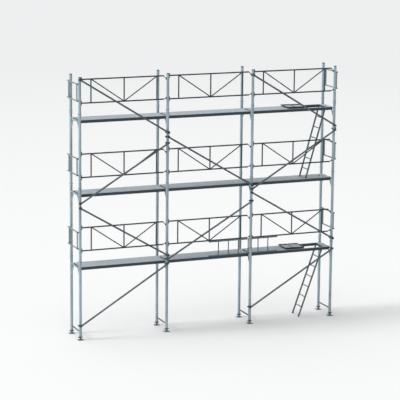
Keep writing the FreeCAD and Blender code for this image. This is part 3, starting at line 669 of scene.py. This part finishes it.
# %% Guardrail wedges
WEDGE_LENGTH, WEDGE_WIDTH, WEDGE_THICK = 130 * MM, 22 * MM, 6 * MM
WEDGE_TAPER = (0.55, 0.8, 1)
BATTERED_RIM, BATTERED_RISE = 1.5 * MM, 2 * MM
POCKET_HEIGHT, POCKET_WALL = 30 * MM, 4 * MM
POCKET_ROOM, POCKET_SET_BACK = 5 * MM, 1 * MM
WEDGE_PLACE = 46 * MM
HOOK_HALF = 11 * MM
wedge_y = -HOOK_HALF - WEDGE_THICK / 2
wedge = box_piece((WEDGE_WIDTH, WEDGE_THICK, WEDGE_LENGTH), (0, wedge_y, 0))
edit(wedge)
pick(wedge, "FACE", lambda f: f.normal.z < -0.9)
bpy.ops.transform.resize(value=WEDGE_TAPER)
pick(wedge, "FACE", lambda f: f.normal.z > 0.9)
bpy.ops.mesh.inset(thickness=BATTERED_RIM)
bpy.ops.transform.translate(value=(0, 0, BATTERED_RISE))
done()
round_off(wedge, 0.8 * MM)
pocket = box_piece((WEDGE_WIDTH + 2 * POCKET_WALL, WEDGE_THICK + POCKET_ROOM, POCKET_HEIGHT),
                   (0, wedge_y - POCKET_SET_BACK, 0))
round_off(pocket, 2.5 * MM, 3)
wedge = join([wedge, pocket], "wedge_template")
for level in LEVELS:
    places = [
        at(line_x[line] + WEDGE_PLACE, post_y["front"], deck_top[level] + height)
        for line in LINES[:-1] for height in (TOP_RAIL, KNEE_RAIL)
    ]
    finished(copies(wedge, f"guardrail_wedges_level_{level}", places), fitting_zinc)
print("wedges:", len(wedge.data.polygons), "faces each")
bpy.data.objects.remove(wedge)

# %% [markdown]
# ## Locking pins' heads and clips
# Each pin through a spigot joint has a flat head at one end and a bent wire that snaps round the
# post and keeps it in. The wire is half of a torus, cut through its middle, with its ends closed.

# %% Pin heads and spring clips
PIN_RISE = 75 * MM
PIN_HALF = 52 * MM
CLIP_RADIUS, WIRE_RADIUS = 50 * MM, 2.2 * MM
HEAD_RADIUS, HEAD_THICK = 9 * MM, 4 * MM
clip = begin("torus", major_radius=CLIP_RADIUS, minor_radius=WIRE_RADIUS, major_segments=32,
             minor_segments=8, location=(0, 0, PIN_RISE))
bake_place(clip)
edit(clip)
bpy.ops.mesh.bisect(plane_co=(0, 0, 0), plane_no=ACROSS, use_fill=True, clear_outer=True)
done()
head = round_piece(HEAD_RADIUS, HEAD_THICK, (-PIN_HALF - HEAD_THICK / 2, 0, PIN_RISE), ALONG, 20)
round_off(head, 1 * MM)
clip = join([clip, head], "clip_template")
joint_feet = [frame_foot[2], frame_foot[3], guard_foot]
for line in LINES:
    places = []
    for height in joint_feet:
        places.append(at(line_x[line], post_y["front"], height))
        places.append(at(line_x[line], post_y["rear"], height) @ HALF_TURN)
    finished(copies(clip, f"spring_clips_line_{line}", places), fitting_zinc)
print("clips:", len(clip.data.polygons), "faces each")
bpy.data.objects.remove(clip)

# %% [markdown]
# ## Caps
# The guard posts' open ends are closed with pressed caps that keep the rain out. A plain lid
# would look cut off, so the cap's top is inset and raised, and its rim is rounded over as a press
# does it.

# %% Post caps
CAP_HEIGHT = 16 * MM
CAP_WALL = 1.5 * MM
CAP_STEP = (10 * MM, 3 * MM)
guard_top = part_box("guard_posts_line_1")[1].z
cap = round_piece(POST_RADIUS + CAP_WALL, CAP_HEIGHT, (0, 0, guard_top), vertices=40)
edit(cap)
pick(cap, "FACE", lambda f: f.normal.z > 0.9)
bpy.ops.mesh.inset(thickness=CAP_STEP[0])
bpy.ops.transform.translate(value=(0, 0, CAP_STEP[1]))
done()
round_off(cap, 3 * MM, 3)
places = [at(line_x[line], post_y[side]) for line in LINES for side in SIDES]
finished(copies(cap, "post_caps", places), fitting_zinc)
print("post caps:", len(cap.data.polygons), "faces each")
bpy.data.objects.remove(cap)

# %% [markdown]
# The rails of the end guards end in the open air too, and are closed with small plugs. Each plug
# is driven in until only a thin rounded rim stands out.

# %% Rail plugs
END_RAIL_HEIGHTS = (980 * MM, 530 * MM)
PLUG_PROUD, PLUG_PLAY = 2 * MM, 0.5 * MM
plug = round_piece(RAIL_RADIUS - PLUG_PLAY, 2 * PLUG_PROUD, (0, 0, 0), ACROSS, 28)
round_off(plug, 1.2 * MM, 3)
for side in ("left", "right"):
    low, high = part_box(f"end_guards_{side}")
    rail_x = low.x + RAIL_RADIUS if side == "left" else high.x - RAIL_RADIUS
    places = [
        at(rail_x, y, deck_top[level] + height)
        for level in LEVELS for height in END_RAIL_HEIGHTS for y in (low.y, high.y)
    ]
    finished(copies(plug, f"rail_plugs_{side}", places), fitting_zinc)
print("rail plugs:", len(plug.data.polygons), "faces each")
bpy.data.objects.remove(plug)

# %% [markdown]
# ## Coupler bolts
# A swivel coupler is two hinged clamps, each drawn shut by a bolt with a hexagon nut. The clamps
# are in the frame, and the ears, bolts and nuts are added here. A cylinder of six sides is
# already a hexagon nut once its corners are softened.

# %% Coupler ears, bolts and nuts
BOLT_RADIUS, BOLT_SPARE = 6 * MM, 10 * MM
NUT_RADIUS_HEX, NUT_THICK, WASHER_THICK = 11 * MM, 8 * MM, 2 * MM
CLAMP_RADIUS = 29 * MM
EAR, EAR_SUNK = (34 * MM, 20 * MM, 20 * MM), 4 * MM
EAR_TAPER = (0.7, 0.9, 1)
EAR_BOLT_RISE = 8 * MM


def hex_bolt(place, length):
    """A bolt along Y with a washer, a hexagon head and a hexagon nut."""
    x, y, z = place
    parts = [round_piece(BOLT_RADIUS, length + BOLT_SPARE, (x, y, z), ACROSS, 16)]
    for end in (-1, 1):
        face = y + end * length / 2
        washer = (x, face + end * WASHER_THICK / 2, z)
        parts.append(round_piece(NUT_RADIUS_HEX, WASHER_THICK, washer, ACROSS, 20))
        nut_place = (x, face + end * (WASHER_THICK + NUT_THICK / 2), z)
        hexagon = round_piece(NUT_RADIUS_HEX, NUT_THICK, nut_place, ACROSS, 6)
        round_off(hexagon, 1 * MM)
        parts.append(hexagon)
    return join(parts, "hex_bolt")


ear = box_piece(EAR, (0, 0, CLAMP_RADIUS + EAR[2] / 2 - EAR_SUNK))
edit(ear)
pick(ear, "FACE", lambda f: f.normal.z > 0.9)
bpy.ops.transform.resize(value=EAR_TAPER)
done()
round_off(ear, 2.5 * MM, 3)
clamp_side = join([ear, hex_bolt((0, 0, CLAMP_RADIUS + EAR_BOLT_RISE), EAR[1])], "clamp_side")
print("coupler ear, bolt and nuts:", len(clamp_side.data.polygons), "faces")

# %% [markdown]
# The clamp that grips the post has a second half behind it: a strap of bent steel with a flange
# at each end, pulled against the first half's flanges by two more bolts. The strap is a ring, cut
# through so that only its rear stays.

# %% Coupler straps
BRACE_PLANE = 72 * MM
SADDLE_RADIUS, SADDLE_BORE = 45 * MM, 38.25 * MM
SADDLE_HEIGHT, SADDLE_START = 40 * MM, 12 * MM
FLANGE, FLANGE_PLACE = (22 * MM, 12 * MM, 34 * MM), 52 * MM
FLANGE_BOLT_PLACE = FLANGE_PLACE + 1 * MM
strap = round_piece(SADDLE_RADIUS, SADDLE_HEIGHT, (0, BRACE_PLANE, 0), vertices=48)
boolean(strap, round_piece(SADDLE_BORE, 2 * SADDLE_HEIGHT, (0, BRACE_PLANE, 0), vertices=48),
        "DIFFERENCE")
edit(strap)
bpy.ops.mesh.bisect(plane_co=(0, BRACE_PLANE + SADDLE_START, 0), plane_no=ACROSS, use_fill=True,
                    clear_inner=True)
done()
round_off(strap, 1.5 * MM)
strap_parts = [strap]
for sense in (-1, 1):
    for off in (-SADDLE_START - FLANGE[1] / 2, SADDLE_START + FLANGE[1] / 2):
        flange = box_piece(FLANGE, (sense * FLANGE_PLACE, BRACE_PLANE + off, 0))
        round_off(flange, 3 * MM, 3)
        strap_parts.append(flange)
    bolt_place = (sense * FLANGE_BOLT_PLACE, BRACE_PLANE, 0)
    strap_parts.append(hex_bolt(bolt_place, 2 * (SADDLE_START + FLANGE[1])))
strap = join(strap_parts, "strap_template")
print("coupler strap:", len(strap.data.polygons), "faces")

# %% [markdown]
# The couplers sit where the braces end. Their places could be typed in, but the braces know them:
# those of one bay never cross, so their ends pair up in order of height, and that gives each
# coupler its place and its slope. A strap needs room behind the post, clear of the knee brace.

# %% Place the couplers
BRACE_OVER = 40 * MM


def heights(node, near_x):
    """The mean heights of the tube ends near one frame line, from the lowest up."""
    points = [node.matrix_world @ v.co for v in node.data.vertices]
    rises = sorted(p.z for p in points if abs(p.x - near_x) < bay / 4)
    groups = [[rises[0]]]
    for rise in rises[1:]:
        if rise - groups[-1][-1] > BRACE_OVER:
            groups.append([])
        groups[-1].append(rise)
    return [(group[0] + group[-1]) / 2 for group in groups]


brace_y = post_y["front"] - BRACE_PLANE
clamp_places, strap_places = [], []
for number in LINES[:-1]:
    node = nodes[f"braces_bay_{number}"]
    lefts, rights = heights(node, line_x[number]), heights(node, line_x[number + 1])
    for left, right in zip(lefts, rights):
        slope = Vector((bay + 2 * BRACE_OVER, 0, right - left)).normalized()
        tilt = Matrix.Rotation(-math.atan2(slope.z, slope.x), 4, "Y")
        ends = ((line_x[number], left + slope.z * BRACE_OVER),
                (line_x[number + 1], right - slope.z * BRACE_OVER))
        for x, rise in ends:
            clamp_places.append(at(x, brace_y, rise) @ tilt)
            below_transom = min((deck - TRANSOM_DROP - rise for deck in deck_top.values()
                                 if deck > rise), default=0)
            if below_transom > KNEE_DROP + 2 * SADDLE_HEIGHT:
                strap_places.append(at(x, brace_y, rise))
finished(copies(clamp_side, "coupler_clamp_bolts", clamp_places), fitting_zinc)
finished(copies(strap, "coupler_straps", strap_places), fitting_zinc)
print(len(clamp_places), "couplers,", len(strap_places), "of them with room for a strap behind")
bpy.data.objects.remove(clamp_side)
bpy.data.objects.remove(strap)

# %% [markdown]
# ## Deck grip
# Aluminium scaffold decks are pressed with rows of raised studs, each with a drain dimple in its
# top, so that boots grip when it rains. One bump texture could fake them, but at a low angle they
# catch the light as real shapes. One stud of a few dozen faces is repeated by two Array
# modifiers. Rows stop short of the edges, of the hatch, and of the ladder that lies along the
# front edge.

# %% Deck studs
STUD_RADIUS, STUD_HEIGHT = 9 * MM, 2 * MM
STUD_TAPER, DIMPLE_RIM, DIMPLE_DEPTH = 0.7, 0.3, 0.6
STUD_PITCH = 52 * MM
STUD_ROWS = 11
FIRST_COLUMN = 80 * MM
HATCH_START, HATCH_LENGTH = 1725 * MM, 596 * MM
HATCH_CLEAR, PAST_HATCH = 40 * MM, 48 * MM


def stud_field(columns, rows, low_corner):
    """Studs in columns along X and rows along Y, the first one at the low corner."""
    stud = begin("cone", vertices=8, radius1=STUD_RADIUS, radius2=STUD_TAPER * STUD_RADIUS,
                 depth=STUD_HEIGHT, location=(0, 0, STUD_HEIGHT / 2))
    bake_place(stud)
    edit(stud)
    pick(stud, "FACE", lambda f: f.normal.z > 0.9)
    bpy.ops.mesh.inset(thickness=DIMPLE_RIM * STUD_RADIUS)
    bpy.ops.transform.translate(value=(0, 0, -DIMPLE_DEPTH * STUD_HEIGHT))
    pick(stud, "FACE", lambda f: f.normal.z < -0.9)
    bpy.ops.mesh.delete(type="FACE")
    done()
    apply_modifier(stud, "ARRAY", count=columns, use_relative_offset=False,
                   use_constant_offset=True, constant_offset_displace=(STUD_PITCH, 0, 0))
    apply_modifier(stud, "ARRAY", count=rows, use_relative_offset=False,
                   use_constant_offset=True, constant_offset_displace=(0, STUD_PITCH, 0))
    stud.data.transform(at(*low_corner))
    return stud


first_row = -STUD_PITCH * (STUD_ROWS - 1) / 2
full_columns = int((bay - 2 * FIRST_COLUMN) / STUD_PITCH) + 1
left_columns = int((HATCH_START - FIRST_COLUMN - HATCH_CLEAR) / STUD_PITCH)
plain_studs = stud_field(full_columns, STUD_ROWS, (FIRST_COLUMN, first_row, 0))
hatch_studs = join([
    stud_field(left_columns, STUD_ROWS, (FIRST_COLUMN, first_row, 0)),
    stud_field(2, STUD_ROWS, (HATCH_START + HATCH_LENGTH + PAST_HATCH, first_row, 0)),
], "hatch_studs")
for level in LEVELS:
    for number in LINES[:-1]:
        template = hatch_studs if number == LINES[-2] else plain_studs
        place = at(line_x[number], 0, deck_top[level])
        finished(copies(template, f"deck_grip_bay_{number}_level_{level}", [place]), deck_alloy)
print("studs:", full_columns, "by", STUD_ROWS, "on a plain deck,", left_columns, "columns by",
      "a hatch")
bpy.data.objects.remove(plain_studs)
bpy.data.objects.remove(hatch_studs)

# %% [markdown]
# ## Deck rivets
# The side rails are riveted to the deck's ribs and end plates. A blind rivet's head is a low
# dome: a short cylinder with its rim rounded over until it is nearly all curve.

# %% Deck rivets
RIVET_RADIUS, RIVET_PROUD = 7 * MM, 3 * MM
RIVET_SHARES = (0.035, 0.06, 0.25, 0.5, 0.75, 0.94, 0.965)
RIVET_DROPS = (18 * MM, 58 * MM)
deck_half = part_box("deck_bay_1_level_1")[1].y
rivet = round_piece(RIVET_RADIUS, 2 * RIVET_PROUD, (0, -deck_half, 0), ACROSS, 14)
round_off(rivet, 0.8 * RIVET_PROUD, 3)
for level in LEVELS:
    places = []
    for number in LINES[:-1]:
        for share in RIVET_SHARES:
            for drop in RIVET_DROPS:
                spot = at(line_x[number] + share * bay, 0, deck_top[level] - drop)
                places += [spot, spot @ HALF_TURN]
    finished(copies(rivet, f"deck_rivets_level_{level}", places), fitting_zinc)
print("rivets:", 3 * len(places), "of", len(rivet.data.polygons), "faces")
bpy.data.objects.remove(rivet)

# %% [markdown]
# ## Hatch lids
# A lid has the same studs as the deck, and a ring to lift it by that lies in two small staples.
# The pieces are made for a shut lid with its hinge at the origin, then turned with the lid's own
# angle.

# %% Lid studs and pull rings
HINGE_RISE = 8.5 * MM
LID_COLUMNS, LID_ROWS = 8, 8
LID_FIRST_COLUMN = 95 * MM
PULL_RADIUS, PULL_WIRE = 32 * MM, 4 * MM
PULL_PLACE = 525 * MM
STAPLE = (10 * MM, 7 * MM, 12 * MM)
STAPLE_SIDE, STAPLE_SET_BACK = 8 * MM, 2 * MM
STAPLE_RISE = 1.4 * PULL_WIRE
LID_OPEN_ANGLE = math.radians(-179)
OPEN_TURN = Matrix.Rotation(LID_OPEN_ANGLE, 4, "Y")
lid_studs = stud_field(LID_COLUMNS, LID_ROWS,
                       (LID_FIRST_COLUMN, -STUD_PITCH * (LID_ROWS - 1) / 2, -HINGE_RISE))
pull = begin("torus", major_radius=PULL_RADIUS, minor_radius=PULL_WIRE, major_segments=36,
             minor_segments=10, location=(PULL_PLACE, 0, PULL_WIRE - HINGE_RISE))
bake_place(pull)
staples = []
for sense in (-1, 1):
    staple = box_piece(STAPLE, (PULL_PLACE + PULL_RADIUS - STAPLE_SET_BACK, sense * STAPLE_SIDE,
                                STAPLE_RISE - HINGE_RISE))
    round_off(staple, 1.5 * MM, 3)
    staples.append(staple)
pull = join([pull, *staples], "pull_template")
pin_low, pin_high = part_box("hatch_hinge_pins")
for level in LEVELS:
    hinge = at((pin_low.x + pin_high.x) / 2, 0, deck_top[level] + HINGE_RISE)
    place = hinge if level == 2 else hinge @ OPEN_TURN
    finished(copies(lid_studs, f"lid_grip_{level}", [place]), lid_alloy,
             f"lid_{level}")
    finished(copies(pull, f"lid_pull_{level}", [place]), fitting_zinc,
             f"lid_{level}")
print("lids:", len(lid_studs.data.polygons) + len(pull.data.polygons), "added faces each")
bpy.data.objects.remove(lid_studs)
bpy.data.objects.remove(pull)

# %% [markdown]
# ## Ladders
# Each rung is swaged into its stiles, which leaves a collar at both ends, and has rings pressed
# into it for grip. Grooves would have to be cut into the frame's own rung, so thin rings lie on
# it instead. They are made once, for a ladder that hangs straight down from its hinge.

# %% Rung collars and grip rings
STILE_WIDTH, STILE_PLACE = 25 * MM, 200 * MM
RUNG_FIRST, RUNG_PITCH, RUNG_COUNT = 267 * MM, 300 * MM, 6
RUNG_RADIUS = 14 * MM
COLLAR_WIDTH, COLLAR_PROUD = 6 * MM, 4 * MM
GRIP_PLACES = (-120 * MM, -60 * MM, 0.0, 60 * MM, 120 * MM)
GRIP_WIRE = 1.4 * MM

collar_place = STILE_PLACE - STILE_WIDTH / 2 - COLLAR_WIDTH / 2
collar = join([
    round_piece(RUNG_RADIUS + COLLAR_PROUD, COLLAR_WIDTH, (0, sense * collar_place, 0), ACROSS, 24)
    for sense in (-1, 1)
], "collar")
round_off(collar, 2 * MM, 3)
rings = []
for y in GRIP_PLACES:
    ring = begin("torus", major_radius=RUNG_RADIUS, minor_radius=GRIP_WIRE, major_segments=20,
                 minor_segments=6, location=(0, y, 0), rotation=(math.pi / 2, 0, 0))
    bake_place(ring)
    rings.append(ring)
rung = join([collar, *rings], "rung_template")
rung_places = [at(z=-RUNG_FIRST - k * RUNG_PITCH) for k in range(RUNG_COUNT)]
print("rung collars and rings:", len(rung.data.polygons), "faces at each rung")

# %% [markdown]
# The stiles end in flat caps above, and below in ribbed rubber shoes that keep the ladder from
# slipping. Both stand proud of the stile at its front and back, and stay inside its sides.

# %% Stile caps and rubber shoes
STILE_HALF, STILE_TOP = 20 * MM, 12 * MM
CAP_OVER, CAP_THICK, SIDE_PLAY = 2 * MM, 6 * MM, 0.4 * MM
SHOE_RIBS, RIB_HEIGHT, RIB_PITCH, RIB_PROUD = 4, 6 * MM, 11 * MM, 2.5 * MM
stile_cap = box_piece((2 * STILE_HALF + CAP_OVER, STILE_WIDTH - SIDE_PLAY, CAP_THICK),
                      (0, 0, STILE_TOP))
round_off(stile_cap, 1.5 * MM, 3)
shoe_ribs = [
    box_piece((2 * (STILE_HALF + RIB_PROUD), STILE_WIDTH - SIDE_PLAY, RIB_HEIGHT),
              (0, 0, RIB_HEIGHT + k * RIB_PITCH))
    for k in range(SHOE_RIBS)
]
shoe = join(shoe_ribs, "shoe_template")
round_off(shoe, 1.5 * MM, 3)
print("stile cap:", len(stile_cap.data.polygons), "faces, shoe:", len(shoe.data.polygons))

# %% [markdown]
# Two ladders lean from their hinges, and one lies on the first deck. The lean could be typed in,
# but it is read from each ladder's lowest corner, so that the added pieces follow the frame.

# %% Put the pieces on each ladder
LADDER_DROP = 56 * MM


def lowest(node, pivot):
    """The node's lowest corner, seen from the pivot."""
    points = [node.matrix_world @ v.co for v in node.data.vertices]
    return min(points, key=lambda p: p.z) - pivot


def leaned(name, level):
    """A hanging ladder's place and its reach from hinge to foot, read from its lowest corner."""
    bolts_low, bolts_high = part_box("ladder_hinge_bolts")
    pivot = Vector(((bolts_low.x + bolts_high.x) / 2, 0, deck_top[level] - LADDER_DROP))
    corner = lowest(nodes[name], pivot)
    reach = math.sqrt(corner.x ** 2 + corner.z ** 2 - STILE_HALF ** 2)
    lean = math.atan2(-corner.x, -corner.z) + math.atan2(STILE_HALF, reach)
    return Matrix.Translation(pivot) @ Matrix.Rotation(lean, 4, "Y"), reach


lower_place, lower_reach = leaned("ladder_lower", 1)
upper_place, upper_reach = leaned("ladder_upper", 3)
stowed_low, stowed_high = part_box("ladder_stowed")
stowed_middle = (stowed_low + stowed_high) / 2
LYING = Matrix(((0, 0, 1), (1, 0, 0), (0, 1, 0))).to_4x4()
stowed_place = at(stowed_high.x - STILE_TOP, stowed_middle.y, stowed_middle.z) @ LYING
ladders = {
    "lower": (lower_place, lower_reach), "upper": (upper_place, upper_reach),
    "stowed": (stowed_place, lower_reach),
}
for name, (place, reach) in ladders.items():
    both_stiles = [at(y=sense * STILE_PLACE) for sense in (-1, 1)]
    body = f"{name}_ladder"
    finished(copies(rung, f"rung_collars_{name}", [place @ spot for spot in rung_places]),
             ladder_alloy, body)
    finished(copies(stile_cap, f"stile_caps_{name}", [place @ spot for spot in both_stiles]),
             rubber, body)
    shoe_places = [place @ spot @ at(z=-reach) for spot in both_stiles]
    finished(copies(shoe, f"rubber_shoes_{name}", shoe_places), rubber, body)
print("ladders reach", {name: round(reach, 3) for name, (_, reach) in ladders.items()})
for template in (rung, stile_cap, shoe):
    bpy.data.objects.remove(template)

# %% [markdown]
# ## Hinge pins
# The lids' hinge pins have a pressed button at each end so that they cannot work their way out.

# %% Hinge pin buttons
HINGE_HALF = 46 * MM
HINGE_PLACE = 120 * MM
BUTTON_RADIUS, BUTTON_THICK = 6.5 * MM, 3 * MM
button = join([
    round_piece(BUTTON_RADIUS, BUTTON_THICK, (0, sense * HINGE_HALF, 0), ACROSS, 20)
    for sense in (-1, 1)
], "button_template")
round_off(button, 1 * MM)
places = [
    at((pin_low.x + pin_high.x) / 2, side * HINGE_PLACE, deck_top[level] + HINGE_RISE)
    for level in LEVELS for side in (-1, 1)
]
finished(copies(button, "hinge_buttons", places), fitting_zinc)
print("hinge buttons:", 2 * len(places))
bpy.data.objects.remove(button)

# %% [markdown]
# ## Floor
# The scaffold stands on a plain pale floor without a seam. A wall behind it would need a curve to
# hide the join; a very large plane needs none. The fall-off of the lamps' light is painted into
# its
# colour: its white dims gently with distance, as a studio floor does away from its lamps.

# %% Floor
FLOOR_SIZE = 400.0
FLOOR_NEAR = (0.95, 0.952, 0.948)
FLOOR_FAR = (0.83, 0.832, 0.835)
FADE_START, FADE_END = 0.0, 55.0
clear_selection()
bpy.ops.mesh.primitive_plane_add(size=FLOOR_SIZE, location=(0, 0, 0))
floor = bpy.context.object
floor.name = "floor"
floor_paint, floor_shader = new_material("floor_paint", 0.0, 0.95)
floor_shader.inputs["Specular IOR Level"].default_value = 0.1
floor_place = add(floor_paint, "ShaderNodeTexCoord").outputs["Object"]
away = add(floor_paint, "ShaderNodeVectorMath", {"operation": "LENGTH"})
connect(floor_paint, floor_place, away.inputs[0])
# The floor's white darkens with distance from its centre: painted fall-off of the lamps' light.
painted_light_falloff = span(floor_paint, away.outputs["Value"], FADE_START, FADE_END, 0.0, 1.0)
floor_cloud = noise(floor_paint, 0.15, 2.0)
floor_tone = mix(floor_paint, painted_light_falloff, FLOOR_NEAR, FLOOR_FAR)
patches = span(floor_paint, floor_cloud, 0.3, 0.7, 0.0, 0.03)
floor_tone = mix(floor_paint, patches, floor_tone, FLOOR_FAR)
connect(floor_paint, floor_tone, floor_shader.inputs["Base Color"])
floor.data.materials.append(floor_paint)
print("floor:", FLOOR_SIZE, "metres square")

# %% [markdown]
# ## Sky
# The light is that of a small studio: a broad bright wall of light on the left and above, and a
# dim side on the right, so that each tube has a light flank and a dark one. An even white sky
# would be simpler, but it washes the tubes flat. The brightness follows the angle to the light's
# direction.

# %% Sky
SKY_TINT = (0.99, 0.995, 1.0)
SKY_DIM, SKY_BRIGHT = 0.06, 1.12
SKY_SOURCE = Vector((-0.76, 0.06, 0.65))
SKY_FADE_START, SKY_FADE_END = -0.45, 0.95
world = bpy.data.worlds.new("studio")
bpy.context.scene.world = world
world.use_nodes = True
sky = world.node_tree.nodes["Background"]
sky_nodes, sky_links = world.node_tree.nodes, world.node_tree.links
direction = sky_nodes.new("ShaderNodeTexCoord").outputs["Generated"]
towards_light = sky_nodes.new("ShaderNodeVectorMath")
towards_light.operation = "DOT_PRODUCT"
towards_light.inputs[1].default_value = SKY_SOURCE.normalized()
sky_links.new(direction, towards_light.inputs[0])
brightness = sky_nodes.new("ShaderNodeMapRange")
brightness.interpolation_type = "SMOOTHSTEP"
brightness.inputs["From Min"].default_value = SKY_FADE_START
brightness.inputs["From Max"].default_value = SKY_FADE_END
brightness.inputs["To Min"].default_value = SKY_DIM
brightness.inputs["To Max"].default_value = SKY_BRIGHT
sky_links.new(towards_light.outputs["Value"], brightness.inputs["Value"])
sky_links.new(brightness.outputs["Result"], sky.inputs["Strength"])
sky.inputs["Color"].default_value = (*SKY_TINT, 1)
print("sky from", SKY_DIM, "to", SKY_BRIGHT)

# %% [markdown]
# ## Lamp
# One large soft lamp on the left adds the faint shadows that run from the feet to the right. It
# is a sun with a wide angle: its light is as even over eight metres as a studio's big soft box,
# and only one number sets how soft the shadows are. Colours are shown plainly, without a film
# look.

# %% Lamp
LAMP_ENERGY = 1.65
LAMP_SPREAD, LAMP_BEARING, LAMP_HEIGHT = 20, -98, 35


def sun(name, energy, angle, azimuth, elevation):
    """A soft distant lamp that shines from a bearing and a height, in degrees."""
    data = bpy.data.lights.new(name, "SUN")
    data.energy = energy
    data.angle = math.radians(angle)
    lamp = bpy.data.objects.new(name, data)
    bpy.context.scene.collection.objects.link(lamp)
    a, e = math.radians(azimuth), math.radians(elevation)
    towards = Vector((math.sin(a) * math.cos(e), -math.cos(a) * math.cos(e), math.sin(e)))
    lamp.rotation_euler = towards.to_track_quat("Z", "Y").to_euler()
    return lamp


sun("key_lamp", LAMP_ENERGY, LAMP_SPREAD, LAMP_BEARING, LAMP_HEIGHT)
bpy.context.scene.view_settings.view_transform = "Standard"
print("lamp:", LAMP_ENERGY, "strong and", LAMP_SPREAD, "degrees wide")
